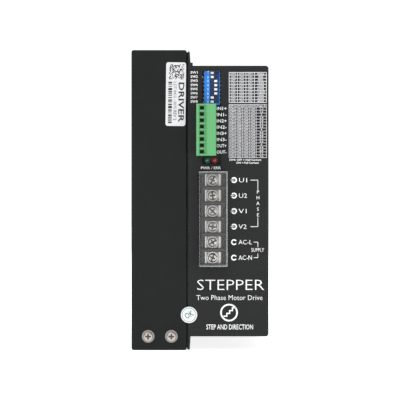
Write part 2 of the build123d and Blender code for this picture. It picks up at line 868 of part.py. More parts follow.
def signal_plug():
    """Cable half: body in front of the panel, tongue inside the header, funnel entries for wires."""
    rear = -plug_panel_gap
    half = plug_length / 2
    body = block(
        (plug_body_left, plug_body_right),
        (-plug_proud, rear),
        (plug_centre - half, plug_centre + half),
    )
    body = chamfer(body.edges().group_by(Axis.Y)[0], 0.35)
    body += block(
        (tongue_left, tongue_right),
        (rear - 0.5, rear + plug_tongue_depth),
        (plug_centre - tongue_half, plug_centre + tongue_half),
    )
    for height in plug_rows:
        mouth_left = plug_body_left + plug_mouth_left
        body -= block(
            (mouth_left, mouth_left + plug_mouth[0]),
            (-plug_proud - 1, -plug_proud + plug_mouth_depth),
            (height - plug_mouth[1] / 2, height + plug_mouth[1] / 2),
        )
        body -= plug_entry_block(height, 0.0, -plug_proud - 1, -plug_proud + plug_entry_depth)
        body -= rod_x(
            (plug_body_right - plug_screw_depth - plug_screw_length, plug_body_right + 1),
            -plug_proud / 2, height, plug_screw_radius + slip,
        )
        body -= pin_block(height, plug_pin + 2 * slip + 0.2, 0.9, rear + plug_tongue_depth + 1)
    return body


def plug_entry_block(height, inset, front, rear):
    """Wire entry of one way, or with an inset the clamp that stands in it."""
    left = plug_body_left + plug_entry_left
    half = plug_entry[1] / 2 - inset
    return block((left + inset, left + plug_entry[0] - inset), (front, rear), (height - half, height + half))


def plug_contacts():
    """Eight wire clamps at the bottoms of the entries."""
    rear = -plug_proud + plug_entry_depth
    return joined([plug_entry_block(height, 0.1, rear - 2.0, rear) for height in plug_rows])


def plug_screws():
    """Eight slotted clamp screws, reached from the plug's right side."""
    screws = []
    right = plug_body_right - plug_screw_depth
    for height in plug_rows:
        screw = rod_x((right - plug_screw_length, right), -plug_proud / 2, height, plug_screw_radius)
        screw -= block(
            (right - 0.8, right + 1),
            (-plug_proud / 2 - 0.25, -plug_proud / 2 + 0.25),
            (height - 2, height + 2),
        )
        screws.append(screw)
    return joined(screws)


# ================================================================ lamps


def led(left):
    """Round lamp with a flange and a domed tip."""
    height = case_top - led_drop
    rear = front_board_depth - led_holder_height
    tip = led_tip_depth
    body = rod_y(left, (tip + led_radius, rear), height, led_radius)
    body += Pos(*point(left, tip + led_radius, height)) * Sphere(led_radius)
    body += rod_y(left, (rear - 1.0, rear), height, led_flange_radius)
    return body


def led_holder():
    """Black spacer under the two lamps."""
    height = case_top - led_drop
    return block(
        (wall_right + led_left[0] - 2.3, wall_right + led_left[1] + 2.3),
        (front_board_depth - led_holder_height, front_board_depth),
        (height - 2.2, height + 2.2),
    )


# ================================================================ terminals


def terminal_leg_block(height, margin, front, rear):
    """Solder leg of one terminal bar, or with a margin the hole that it passes."""
    half = terminal_leg / 2 + margin
    return block(
        (terminal_leg_left - margin, terminal_leg_left + terminal_leg + margin),
        (front, rear),
        (height - half, height + half),
    )


def terminal_block():
    """Black base with upright dividers, open at the right, with hinge ears at its left corners."""
    ends = (terminal_centre - terminal_half, terminal_centre + terminal_half)
    body = block((terminal_box_left, terminal_box_right), (terminal_floor_depth, front_board_depth), ends)
    top = -terminal_divider_proud
    walls = [
        (height - terminal_divider / 2, height + terminal_divider / 2)
        for height in spread(terminal_ways - 1, terminal_pitch, terminal_centre)
    ]
    walls.append((ends[0], ends[0] + terminal_end_wall))
    walls.append((ends[1] - terminal_end_wall, ends[1]))
    for wall in walls:
        divider = block((terminal_box_left, terminal_box_right), (top, terminal_floor_depth + 0.5), wall)
        corner = divider.edges().filter_by(Axis.Z).group_by(Axis.Y)[0].sort_by(Axis.X)[-1:]
        body += chamfer(corner, terminal_chamfer)
    body += block(
        (terminal_box_left, terminal_box_left + terminal_rear_wall),
        (-terminal_rear_wall_proud, terminal_floor_depth + 0.5),
        ends,
    )
    for low, high in ((ends[0], ends[0] + terminal_end_wall), (ends[1] - terminal_end_wall, ends[1])):
        ear = block(
            (hinge_left, terminal_box_left + 0.5),
            (hinge_depth - 0.7, hinge_depth + 0.7),
            (low, high),
        )
        body += ear + rod_z(hinge_left, hinge_depth, (low, high), 0.7)
    for low, high in ((ends[0] - lid_end, ends[0] + 0.1), (ends[1] - 0.1, ends[1] + lid_end)):
        body += rod_z(hinge_left, hinge_depth, (low, high), lid_hinge_pin)
    for height in terminal_rows:
        body -= rod_y(screw_line, (terminal_floor_depth - 1, terminal_screw_depth + 0.8), height,
                      terminal_screw_radius + slip)
        body -= terminal_leg_block(height, slip, 0, front_board_depth + 1)
    return body


def terminal_bars():
    """Plated bars in the cells' floors, with a leg through the base and the board."""
    bars = []
    for height in terminal_rows:
        bar = block(
            (screw_line - 4.4, screw_line + 5.2),
            (plate_rear, terminal_floor_depth),
            (height - 3.3, height + 3.3),
        )
        bar += terminal_leg_block(height, 0.0, plate_rear, front_board_depth + board + 1.6)
        bar -= rod_y(screw_line, (-2, 4), height, terminal_screw_radius + slip)
        bars.append(bar)
    return joined(bars)


def terminal_clamps():
    """Square clamp plates with raised side lips."""
    plates = []
    width, tall = terminal_plate
    for height in terminal_rows:
        rows = (height - tall / 2, height + tall / 2)
        plate = block((screw_line - width / 2, screw_line + width / 2), (plate_front, plate_rear), rows)
        for left in (screw_line - width / 2, screw_line + width / 2 - 0.9):
            plate += block((left, left + 0.9), (plate_front - terminal_plate_lip, plate_rear), rows)
        bead = rod_y(screw_line, (plate_front - terminal_bead_proud, plate_front), height, terminal_bead[1])
        bead -= rod_y(screw_line, (plate_front - 2, plate_front + 1), height, terminal_bead[0])
        plate += bead
        plate -= rod_y(screw_line, (-4, 4), height, terminal_screw_radius + slip)
        plates.append(plate)
    return joined(plates)


def terminal_screw(way):
    """Cheese-head screw with a combined slot and cross."""
    height = terminal_rows[way - 1]
    seat = plate_front - 0.05
    head = Pos(0, 0, terminal_head_height / 2) * Cylinder(terminal_head_radius, terminal_head_height)
    head = fillet(head.edges().group_by(Axis.Z)[-1], terminal_head_crown)
    head -= Pos(0, 0, terminal_head_height) * Box(2.6 * terminal_head_radius, recess_width, terminal_slot_depth * 2)
    head -= Pos(0, 0, terminal_head_height) * cross_recess(terminal_head_radius)
    length = terminal_screw_depth - seat
    screw = head + Pos(0, 0, -length / 2) * Cylinder(terminal_screw_radius, length)
    return Pos(*point(screw_line, seat, height)) * to_front * Rot(0, 0, 25 + 37 * way) * screw


def terminal_cover():
    """Clear hinged cover: front plate, left wall, right lip, end lips with hinge lugs."""
    front = -lid_proud
    low, high = terminal_centre - lid_half, terminal_centre + lid_half
    cover = block((lid_left, lid_right), (front, front + lid_top), (low, high))
    cover += block((lid_left, lid_left + lid_wall), (front, hinge_depth - 1.1), (low, high))
    inner = terminal_inner_half - 0.3
    cover += block(
        (lid_left, lid_left + lid_wall),
        (front, hinge_depth + 0.6),
        (terminal_centre - inner, terminal_centre + inner),
    )
    cover += block((lid_right - lid_wall, lid_right), (front, front + lid_right_lip), (low, high))
    for lip in ((low, low + lid_end), (high - lid_end, high)):
        cover += block((lid_left, lid_right), (front, front + lid_end_lip), lip)
        cover += block((lid_left, lid_left + 2.0), (front, hinge_depth), lip)
        cover += rod_z(hinge_left, hinge_depth, lip, lid_lug_radius)
        cover -= rod_z(hinge_left, hinge_depth, (lip[0] - 1, lip[1] + 1), lid_hinge_pin + slip)
    return cover


# ================================================================ power parts


def power_transistors():
    """Eight transistors on the heat sink, their leads bent up to the power board."""
    parts = []
    thick, long, wide = transistor
    rear = transistor_depth + long
    for height in transistor_heights:
        body = block(
            (transistor_left, transistor_right),
            (transistor_depth, rear),
            (height - wide / 2, height + wide / 2),
        )
        for offset in (-2.54, 0.0, 2.54):
            row = (height + offset - 0.4, height + offset + 0.4)
            body += block((transistor_right - 2.2, transistor_right - 1.6), (rear - 1, rear + 3.0), row)
            body += block((transistor_right - 2.2, power_board_left), (rear + 2.4, rear + 3.0), row)
        parts.append(body)
    return joined(parts)


def insulating_pad():
    """Thin pad between the transistors and the heat sink."""
    middle = unit_height / 2
    pad = block((pad_left, transistor_left), pad_depths, (middle - pad_half, middle + pad_half))
    for height in clamp_heights:
        pad -= rod_x((pad_left - 1, transistor_left + 1), clamp_depth, height, m3_radius + clearance_hole)
    return pad


def clamp_bar():
    """Steel bar that presses the transistors down."""
    half = clamp_bar_width / 2
    middle = unit_height / 2
    reach = transistor_count * transistor_pitch / 2 - 1.0
    bar = block(
        (clamp_left, clamp_right),
        (clamp_depth - half, clamp_depth + half),
        (middle - reach, middle + reach),
    )
    for height in clamp_heights:
        bar -= rod_x((clamp_left - 1, clamp_right + 1), clamp_depth, height, m3_radius + clearance_hole)
    return bar


def clamp_bar_screws():
    """Three screws between the transistors into the base."""
    return joined([
        Pos(*point(clamp_right, clamp_depth, height)) * to_right * pan_screw(clamp_screw_length)
        for height in clamp_heights
    ])


def bulk_capacitors():
    """Three tall capacitors behind the transformer."""
    right = room_right - 2.0
    cans = []
    for height in spread(3, 2 * capacitor_radius + 3.0, unit_height / 2 - 12.0):
        can = rod_x((power_board_right, right), capacitor_depth, height, capacitor_radius)
        cans.append(fillet(can.edges().group_by(Axis.X)[-1], 1.2))
    return joined(cans)


def transformer():
    """Core with its winding showing above and below."""
    depths = (transformer_rear - transformer_length, transformer_rear)
    middle = power_board_bottom + 26.0
    core = block((power_board_right, power_board_right + 20.0), depths, (middle - 12.0, middle + 12.0))
    winding = block(
        (power_board_right + 2.0, power_board_right + 18.0),
        (depths[0] + 3.0, depths[1] - 3.0),
        (middle - 16.0, middle + 16.0),
    )
    return joined([core - winding, winding])


def line_choke():
    """Ring core choke, standing on the board."""
    depth = lead_depth - choke_ahead
    height = power_board_top - 24.0
    ring = Torus(8.5, 3.5)
    return Pos(*point(power_board_right + 3.5, depth, height)) * to_right * ring


def film_capacitor():
    """Box capacitor across the supply."""
    start = power_board_front + 52.0
    return fillet(
        block(
            (power_board_right, power_board_right + 16.0),
            (start, start + 24.0),
            (power_board_top - 16.0, power_board_top - 7.0),
        ).edges(), 0.6)


def relay():
    """Inrush relay."""
    start = power_board_front + 44.0
    return fillet(
        block(
            (power_board_right, power_board_right + 15.0),
            (start, start + 19.0),
            (power_board_top - 36.0, power_board_top - 21.0),
        ).edges().filter_by(Axis.X), 0.8)


def fuse():
    """Cartridge fuse in two clips."""
    depth = power_board_front + 12.0
    height = power_board_bottom + 34.0
    left = power_board_right + 4.4
    tube = rod_z(left, depth, (height - 10.0, height + 10.0), 2.6)
    for clip in (height - 7.5, height + 7.5):
        tube += block((power_board_right, left), (depth - 2.2, depth + 2.2), (clip - 2.0, clip + 2.0))
    return tube


def rectifier():
    """Upright bridge rectifier."""
    start = power_board_front + 14.0
    return block(
        (power_board_right, power_board_right + 18.0),
        (start, start + 21.0),
        (power_board_bottom + 8.0, power_board_bottom + 12.0),
    )


def board_link():
    """Connector between the two boards: a socket on the front board, a header on the power board."""
    middle = power_board_bottom + 76.0
    left = (power_board_right, power_board_right + 6.0)
    rear = front_board_depth + board
    split = power_board_front + 0.4
    socket = block(left, (rear, split), (middle - 25.0, middle + 25.0))
    header = block(left, (split, split + 6.0), (middle - 25.0, middle + 25.0))
    return joined([socket, header])


# ================================================================ output


def build():
    """All the pieces, by name."""
    parts = {}
    parts["heat_sink"] = heat_sink()
    parts["chassis"] = chassis()
    parts["case_shell"] = case_shell()
    parts["case_screws"] = case_screws()
    parts["chassis_screws"] = chassis_screws()
    parts["fan_cover"] = fan_cover()
    parts["cover_screws"], parts["cover_washers"] = cover_fixings()
    parts["cover_foot"] = cover_foot()
    parts["cover_foot_screws"] = cover_foot_screws()
    parts["fan_frame"] = fan_frame()
    parts["fan_rotor"] = fan_rotor()
    parts["fan_screws"] = fan_screws()
    parts["fan_lead"], parts["fan_plug"] = fan_lead_and_plug()
    parts["lead_grommet"] = lead_grommet()
    parts["front_board"] = front_board()
    parts["power_board"] = power_board()
    parts["board_standoffs"], parts["board_screws"] = board_mounting()
    parts["dip_body"] = dip_body()
    parts["dip_pins"] = dip_pins()
    for way in range(1, dip_ways + 1):
        parts[f"dip_slider_{way}"] = dip_slider_piece(way)
    parts["signal_header"] = signal_header()
    parts["header_pins"] = header_pins()
    parts["signal_plug"] = signal_plug()
    parts["plug_contacts"] = plug_contacts()
    parts["plug_screws"] = plug_screws()
    parts["green_led"] = led(wall_right + led_left[0])
    parts["red_led"] = led(wall_right + led_left[1])
    parts["led_holder"] = led_holder()
    parts["terminal_block"] = terminal_block()
    parts["terminal_bars"] = terminal_bars()
    parts["terminal_clamps"] = terminal_clamps()
    for way in range(1, terminal_ways + 1):
        parts[f"terminal_screw_{way}"] = terminal_screw(way)
    parts["terminal_cover"] = terminal_cover()
    parts["power_transistors"] = power_transistors()
    parts["insulating_pad"] = insulating_pad()
    parts["clamp_bar"] = clamp_bar()
    parts["clamp_bar_screws"] = clamp_bar_screws()
    parts["bulk_capacitors"] = bulk_capacitors()
    parts["transformer"] = transformer()
    parts["line_choke"] = line_choke()
    parts["film_capacitor"] = film_capacitor()
    parts["relay"] = relay()
    parts["fuse"] = fuse()
    parts["rectifier"] = rectifier()
    parts["board_link"] = board_link()
    return parts


os.makedirs("parts", exist_ok=True)
for name, shape in build().items():
    export_step(shape, f"parts/{name}.step")
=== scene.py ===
"""Look of a stepper driver module: finishes, printing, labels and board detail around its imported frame.

Lengths in the classes are millimetres on the unit itself: "left" is a distance from the unit's left side,
"depth" is behind its front face and "height" is above its bottom end. Objects are in metres, in the frame
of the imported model: +Z up, the front faces -Y and +X is to the right as seen from the front.
"""

import json
import logging
import math
import random
from dataclasses import dataclass, field, replace
from enum import Enum

import bmesh
import bpy
from mathutils import Matrix, Vector

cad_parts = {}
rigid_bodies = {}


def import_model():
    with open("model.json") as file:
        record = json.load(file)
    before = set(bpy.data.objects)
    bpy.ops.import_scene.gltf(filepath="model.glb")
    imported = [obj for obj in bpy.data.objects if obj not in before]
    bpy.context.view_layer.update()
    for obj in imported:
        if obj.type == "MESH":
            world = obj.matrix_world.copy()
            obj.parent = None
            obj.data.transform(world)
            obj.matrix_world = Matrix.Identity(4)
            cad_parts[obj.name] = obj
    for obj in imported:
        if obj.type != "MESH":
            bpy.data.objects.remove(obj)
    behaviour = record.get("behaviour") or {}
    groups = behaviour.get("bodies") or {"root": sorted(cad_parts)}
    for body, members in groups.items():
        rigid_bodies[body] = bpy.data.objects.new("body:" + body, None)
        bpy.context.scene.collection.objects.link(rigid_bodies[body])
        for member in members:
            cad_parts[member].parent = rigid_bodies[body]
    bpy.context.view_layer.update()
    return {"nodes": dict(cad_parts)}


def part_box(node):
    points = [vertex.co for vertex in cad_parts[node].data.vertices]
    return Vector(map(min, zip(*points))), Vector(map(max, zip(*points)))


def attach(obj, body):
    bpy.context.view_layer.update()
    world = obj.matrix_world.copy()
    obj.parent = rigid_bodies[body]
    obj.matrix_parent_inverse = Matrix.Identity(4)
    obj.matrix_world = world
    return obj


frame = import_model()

MM = 0.001
UNIT = "unit"
ROTOR = "rotor"
Colour = tuple[float, float, float]
Span = tuple[float, float]
Box = tuple[Vector, Vector]

log = logging.getLogger("driver_module")


class Align(Enum):
    """Which part of a line of lettering stands at its given place."""

    LEFT = "LEFT"
    CENTRE = "CENTER"


class Lay(Enum):
    """Which way the fine lines of a drawn or rolled surface run, as stretches of its noise."""

    NONE = (1.0, 1.0, 1.0)
    ALONG_X = (0.04, 1.0, 1.0)
    ALONG_Z = (1.0, 1.0, 0.04)


# ------------------------------------------------------------------ the unit's own corner


@dataclass(frozen=True)
class Corner:
    """Front lower left corner of the unit, which every place is measured from."""

    left: float
    front: float
    bottom: float

    @classmethod
    def of_frame(cls) -> "Corner":
        """Reads the corner from the duct's cover."""
        low, _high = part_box("fan_cover")
        return cls(low.x, low.y, low.z)

    def spot(self, left: float, depth: float, height: float) -> Vector:
        """Turns distances on the unit into a point of the frame.

        Args:
            left: Distance from the unit's left side.
            depth: Distance behind its front face.
            height: Distance above its bottom end.

        Returns:
            The point, in metres.
        """
        return Vector((self.left + left * MM, self.front + depth * MM, self.bottom + height * MM))

    def height_of(self, point: float) -> float:
        """Turns a height of the frame into one above the unit's bottom end."""
        return (point - self.bottom) / MM

    def middle_of(self, node: str) -> float:
        """Height of a node's middle above the unit's bottom end."""
        low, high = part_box(node)
        return self.height_of((low.z + high.z) / 2)

    def front_sheet(self, depth: float = 0.0) -> Matrix:
        """Places a flat sheet of (left, height) millimetres on a plane that faces the front.

        Args:
            depth: Depth of the plane behind the front face.

        Returns:
            The sheet's matrix.
        """
        upright = Matrix.Rotation(math.pi / 2, 4, "X")
        return Matrix.Translation(self.spot(0.0, depth, 0.0)) @ upright @ Matrix.Scale(MM, 4)


# ------------------------------------------------------------------ mesh work


def clear_selection() -> None:
    """Leaves nothing selected, so that the next operator acts only on what it is given."""
    if bpy.context.object is not None and bpy.context.object.mode != "OBJECT":
        bpy.ops.object.mode_set(mode="OBJECT")
    for item in bpy.context.scene.objects:
        item.select_set(False)


def take(item: bpy.types.Object) -> bpy.types.Object:
    """Makes one object the only selected and active one.

    Args:
        item: The object.

    Returns:
        The same object.
    """
    clear_selection()
    item.select_set(True)
    bpy.context.view_layer.objects.active = item
    return item


def settle(item: bpy.types.Object, place: Matrix | None = None) -> bpy.types.Object:
    """Moves an object's place into its mesh and puts the object at the origin.

    Args:
        item: The object.
        place: A further matrix, applied after the object's own.

    Returns:
        The same object.
    """
    bpy.context.view_layer.update()
    item.data.transform((place or Matrix.Identity(4)) @ item.matrix_world)
    item.matrix_world = Matrix.Identity(4)
    return item


def join(items: list[bpy.types.Object], name: str) -> bpy.types.Object:
    """Joins objects that sit at the origin.

    Args:
        items: The objects, of which the first one is kept.
        name: Name of the joined object and of its mesh.

    Returns:
        The joined object.
    """
    clear_selection()
    for item in items:
        item.select_set(True)
    bpy.context.view_layer.objects.active = items[0]
    if len(items) > 1:
        bpy.ops.object.join()
    whole = bpy.context.view_layer.objects.active
    whole.name = name
    whole.data.name = name
    return whole


def face_outwards(item: bpy.types.Object, merge: float = 1e-7) -> bpy.types.Object:
    """Merges doubled points and turns every face outwards.

    Args:
        item: The object.
        merge: Points nearer than this become one, in the mesh's own units.

    Returns:
        The same object.
    """
    take(item)
    bpy.ops.object.mode_set(mode="EDIT")
    bpy.ops.mesh.select_all(action="SELECT")
    bpy.ops.mesh.remove_doubles(threshold=merge)
    bpy.ops.mesh.normals_make_consistent(inside=False)
    bpy.ops.object.mode_set(mode="OBJECT")
    return item


def bevelled(item: bpy.types.Object, width: float, segments: int = 2, angle: float = 35.0) -> bpy.types.Object:
    """Rounds an object's edges and applies the rounding.

    Args:
        item: The object.
        width: Rounding, in the mesh's own units.
        segments: Facets across the rounding.
        angle: Edges sharper than this, in degrees, are rounded.

    Returns:
        The same object.
    """
    take(item)
    rounding = item.modifiers.new("rounding", "BEVEL")
    rounding.width = width
    rounding.segments = segments
    rounding.limit_method = "ANGLE"
    rounding.angle_limit = math.radians(angle)
    bpy.ops.object.modifier_apply(modifier=rounding.name)
    return item


def slab(low: Vector, high: Vector, name: str) -> bpy.types.Object:
    """Makes a rectangular block, to be shaped or copied.

    Args:
        low: Its lowest corner.
        high: Its highest corner.
        name: Its name.

    Returns:
        The block, with its object at the origin.
    """
    clear_selection()
    middle = (low + high) / 2
    bpy.ops.mesh.primitive_cube_add(size=1.0, location=middle, scale=high - low)
    item = bpy.context.object
    item.name = name
    return settle(item)


def copies(model: bpy.types.Object, places: list[Matrix], name: str) -> bpy.types.Object:
    """Makes one object out of many placed copies of a model, and removes the model.

    Args:
        model: The piece that repeats, at the origin.
        places: Where each copy goes.
        name: The new object's name.

    Returns:
        One object that holds every copy's own mesh.
    """
    gathered = bmesh.new()
    for place in places:
        mesh = model.data.copy()
        mesh.transform(place)
        if place.determinant() < 0:
            mesh.flip_normals()
        gathered.from_mesh(mesh)
        bpy.data.meshes.remove(mesh)
    mesh = bpy.data.meshes.new(name)
    gathered.to_mesh(mesh)
    gathered.free()
    bpy.data.objects.remove(model)
    item = bpy.data.objects.new(name, mesh)
    bpy.context.scene.collection.objects.link(item)
    return item


def finish_and_fix(item: bpy.types.Object, material: bpy.types.Material, body: str) -> None:
    """Gives a finished piece its only material and fixes it to a body.

    Args:
        item: The piece, at the origin.
        material: Its material.
        body: The body that it rides on.
    """
    item.data.materials.clear()
    item.data.materials.append(material)
    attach(item, body)
    log.info("piece %s on %s: %d faces", item.name, body, len(item.data.polygons))


# ------------------------------------------------------------------ shared effects


class Socket(Enum):
    """Kinds of socket on a shared effect."""

    NUMBER = "NodeSocketFloat"
    VECTOR = "NodeSocketVector"
    COLOUR = "NodeSocketColor"


class Effect:
    """A shader node group under construction: sockets, nodes and links."""

    def __init__(self, name: str, inputs: dict[str, tuple[Socket, object]], outputs: dict[str, Socket]) -> None:
        """Opens a group.

        Args:
            name: The group's name.
            inputs: Kind and default of each named input.
            outputs: Kind of each named output.
        """
        self.tree = bpy.data.node_groups.new(name, "ShaderNodeTree")
        for label, (kind, default) in inputs.items():
            socket = self.tree.interface.new_socket(label, in_out="INPUT", socket_type=kind.value)
            if default is not None:
                socket.default_value = default
        for label, kind in outputs.items():
            self.tree.interface.new_socket(label, in_out="OUTPUT", socket_type=kind.value)
        self.inside = self.tree.nodes.new("NodeGroupInput")
        self.outside = self.tree.nodes.new("NodeGroupOutput")

    def value(self, label: str) -> bpy.types.NodeSocket:
        """One of the group's inputs."""
        return self.inside.outputs[label]

    def feed(self, socket: bpy.types.NodeSocket, source: object) -> None:
        """Links a source to a socket, or sets the socket to a plain value.

        Args:
            socket: The socket that is fed.
            source: Another node's output, or a number, vector or colour.
        """
        if isinstance(source, bpy.types.NodeSocket):
            self.tree.links.new(source, socket)
        else:
            socket.default_value = source

    def maths(self, operation: str, first: object, second: object, clamp: bool = False) -> bpy.types.NodeSocket:
        """Adds one sum on numbers.

        Args:
            operation: Blender's name of the sum.
            first: First number or source.
            second: Second number or source.
            clamp: Whether the result is kept between 0 and 1.

        Returns:
            The result.
        """
        node = self.tree.nodes.new("ShaderNodeMath")
        node.operation = operation
        node.use_clamp = clamp
        self.feed(node.inputs[0], first)
        self.feed(node.inputs[1], second)
        return node.outputs[0]

    def weighed(self, first: object, share: float, second: object, other: float) -> bpy.types.NodeSocket:
        """Sum of two sources, each times its share."""
        return self.maths("ADD", self.maths("MULTIPLY", first, share), self.maths("MULTIPLY", second, other))

    def vectors(self, operation: str, first: object, second: object = (0.0, 0.0, 0.0)) -> bpy.types.NodeSocket:
        """Adds one sum on vectors.

        Args:
            operation: Blender's name of the sum.
            first: First vector or source.
            second: Second vector or source, where the sum has one.

        Returns:
            The result.
        """
        node = self.tree.nodes.new("ShaderNodeVectorMath")
        node.operation = operation
        self.feed(node.inputs[0], first)
        self.feed(node.inputs[1], second)
        return node.outputs[0]

    def noise(self, vector: object, scale: object, detail: float = 3.0,
              roughness: float = 0.55) -> bpy.types.NodeSocket:
        """Adds cloudy noise.

        Args:
            vector: Where on the surface the noise is read.
            scale: Its scale, higher for finer clouds.
            detail: Number of finer layers.
            roughness: Strength of each finer layer.

        Returns:
            The noise's value, about 0.5 on average.
        """
        node = self.tree.nodes.new("ShaderNodeTexNoise")
        node.inputs["Detail"].default_value = detail
        node.inputs["Roughness"].default_value = roughness
        self.feed(node.inputs["Vector"], vector)
        self.feed(node.inputs["Scale"], scale)
        return node.outputs["Fac"]

    def ramp(self, value: object, span: tuple[object, object], onto: Span = (0.0, 1.0)) -> bpy.types.NodeSocket:
        """Maps one span of a value smoothly to another.

        Args:
            value: The value.
            span: Where the ramp starts and ends.
            onto: What it gives at its start and end.

        Returns:
            The mapped value.
        """
        node = self.tree.nodes.new("ShaderNodeMapRange")
        node.interpolation_type = "SMOOTHSTEP"
        labels = ("Value", "From Min", "From Max", "To Min", "To Max")
        for label, source in zip(labels, (value, *span, *onto)):
            self.feed(node.inputs[label], source)
        return node.outputs[0]

    def blend(self, share: object, first: object, second: object, way: str = "MIX") -> bpy.types.NodeSocket:
        """Mixes two colours.

        Args:
            share: How much of the second one shows.
            first: First colour.
            second: Second colour.
            way: Blender's name of the mix.

        Returns:
            The mixed colour.
        """
        node = self.tree.nodes.new("ShaderNodeMix")
        node.data_type = "RGBA"
        node.blend_type = way
        self.feed(node.inputs[0], share)
        self.feed(node.inputs[6], first)
        self.feed(node.inputs[7], second)
        return node.outputs[2]

    def apart(self, vector: bpy.types.NodeSocket) -> bpy.types.NodeOutputs:
        """A vector's three parts."""
        node = self.tree.nodes.new("ShaderNodeSeparateXYZ")
        self.feed(node.inputs[0], vector)
        return node.outputs

    def place(self, kind: str = "Object") -> bpy.types.NodeSocket:
        """Object coordinates of the surface, or another kind of coordinates."""
        return self.tree.nodes.new("ShaderNodeTexCoord").outputs[kind]

    def close(self, **results: bpy.types.NodeSocket) -> bpy.types.NodeTree:
        """Links results to the outputs of the same names and returns the finished group."""
        for label, source in results.items():
            self.tree.links.new(source, self.outside.inputs[label])
        return self.tree


def grain_effect() -> bpy.types.NodeTree:
    """Fine surface grain with slow changes of shade and roughness, as on powder coat, mouldings and metal."""
    effect = Effect(
        "surface_grain",
        {
            "Color": (Socket.COLOUR, None),
            "Scale": (Socket.NUMBER, 1500.0),
            "Stretch": (Socket.VECTOR, (1.0, 1.0, 1.0)),
            "Shade Spread": (Socket.NUMBER, 0.1),
            "Roughness": (Socket.NUMBER, 0.5),
            "Roughness Spread": (Socket.NUMBER, 0.1),
        },
        {"Color": Socket.COLOUR, "Roughness": Socket.NUMBER, "Height": Socket.NUMBER},
    )
    middle_scale, broad_scale, average = 0.18, 38.0, 0.5
    shade_of_broad, height_of_fine = 0.6, 0.65
    stretched = effect.vectors("MULTIPLY", effect.place(), effect.value("Stretch"))
    fine = effect.noise(stretched, effect.value("Scale"), detail=2.0)
    middle = effect.noise(stretched, effect.maths("MULTIPLY", effect.value("Scale"), middle_scale))
    broad = effect.noise(effect.place(), broad_scale, detail=2.0)
    shade = effect.weighed(broad, shade_of_broad, middle, 1.0 - shade_of_broad)
    shade = effect.maths("MULTIPLY", effect.maths("SUBTRACT", shade, average), effect.value("Shade Spread"))
    lightness = effect.maths("ADD", effect.maths("MULTIPLY", shade, 2.0), 1.0)
    grey = effect.tree.nodes.new("ShaderNodeCombineColor")
    for channel in grey.inputs:
        effect.feed(channel, lightness)
    colour = effect.blend(1.0, effect.value("Color"), grey.outputs[0], "MULTIPLY")
    cloud = effect.weighed(middle, 0.5, broad, 0.5)
    swing = effect.maths("MULTIPLY", effect.maths("SUBTRACT", cloud, average), effect.value("Roughness Spread"))
    roughness = effect.maths("ADD", effect.value("Roughness"), effect.maths("MULTIPLY", swing, 2.0), clamp=True)
    height = effect.weighed(fine, height_of_fine, middle, 1.0 - height_of_fine)
    return effect.close(Color=colour, Roughness=roughness, Height=height)


def wear_effect() -> bpy.types.NodeTree:
    """Rubbed and lightened edges of a boxy piece, found by the distance to its box's sides."""
    effect = Effect(
        "edge_wear",
        {
            "Color": (Socket.COLOUR, None),
            "Wear Color": (Socket.COLOUR, None),
            "Low": (Socket.VECTOR, (0.0, 0.0, 0.0)),
            "High": (Socket.VECTOR, (0.1, 0.1, 0.1)),
            "Width": (Socket.NUMBER, 0.0008),
            "Amount": (Socket.NUMBER, 0.5),
        },
        {"Color": Socket.COLOUR},
    )
    patch_scale, least_width = 260.0, 0.35
    break_scale, break_span = 900.0, (0.38, 0.62)
    place = effect.place()
    near_low = effect.vectors("ABSOLUTE", effect.vectors("SUBTRACT", place, effect.value("Low")))
    near_high = effect.vectors("ABSOLUTE", effect.vectors("SUBTRACT", effect.value("High"), place))
    x, y, z = effect.apart(effect.vectors("MINIMUM", near_low, near_high))
    inner = effect.maths("MINIMUM", effect.maths("MAXIMUM", x, y), z)
    second = effect.maths("MAXIMUM", effect.maths("MINIMUM", x, y), inner)
    patchy = effect.noise(place, patch_scale, detail=4.0, roughness=0.7)
    width = effect.maths("MULTIPLY", effect.value("Width"), effect.maths("ADD", patchy, least_width))
    edge = effect.ramp(second, (0.0, width), (1.0, 0.0))
    broken = effect.ramp(effect.noise(place, break_scale), break_span)
    mask = effect.maths("MULTIPLY", effect.maths("MULTIPLY", edge, broken), effect.value("Amount"), clamp=True)
    return effect.close(Color=effect.blend(mask, effect.value("Color"), effect.value("Wear Color")))


def dust_effect() -> bpy.types.NodeTree:
    """Thin grey dust that settles in patches, most of it on what faces up."""
    effect = Effect(
        "settled_dust",
        {
            "Color": (Socket.COLOUR, None),
            "Dust Color": (Socket.COLOUR, (0.32, 0.31, 0.29, 1.0)),
            "Amount": (Socket.NUMBER, 0.1),
            "Roughness": (Socket.NUMBER, 0.5),
        },
        {"Color": Socket.COLOUR, "Roughness": Socket.NUMBER},
    )
    patch_scale, patch_span, patch_share = 70.0, (0.35, 0.75), 0.7
    speck_scale, speck_span, speck_share = 1400.0, (0.6, 0.72), 0.5
    upright_share, dust_roughness = 0.12, 0.35
    upward = effect.ramp(effect.apart(effect.place("Normal"))[2], (0.2, 1.0), (upright_share, 1.0))
    patch = effect.ramp(effect.noise(effect.place(), patch_scale, detail=4.0), patch_span)
    specks = effect.ramp(effect.noise(effect.place(), speck_scale, detail=2.0), speck_span)
    cover = effect.weighed(patch, patch_share, specks, speck_share)
    share = effect.maths("MULTIPLY", effect.maths("MULTIPLY", cover, upward), effect.value("Amount"), clamp=True)
    rougher = effect.maths("MULTIPLY", share, dust_roughness)
    roughness = effect.maths("ADD", effect.value("Roughness"), rougher, clamp=True)
    colour = effect.blend(share, effect.value("Color"), effect.value("Dust Color"))
    return effect.close(Color=colour, Roughness=roughness)


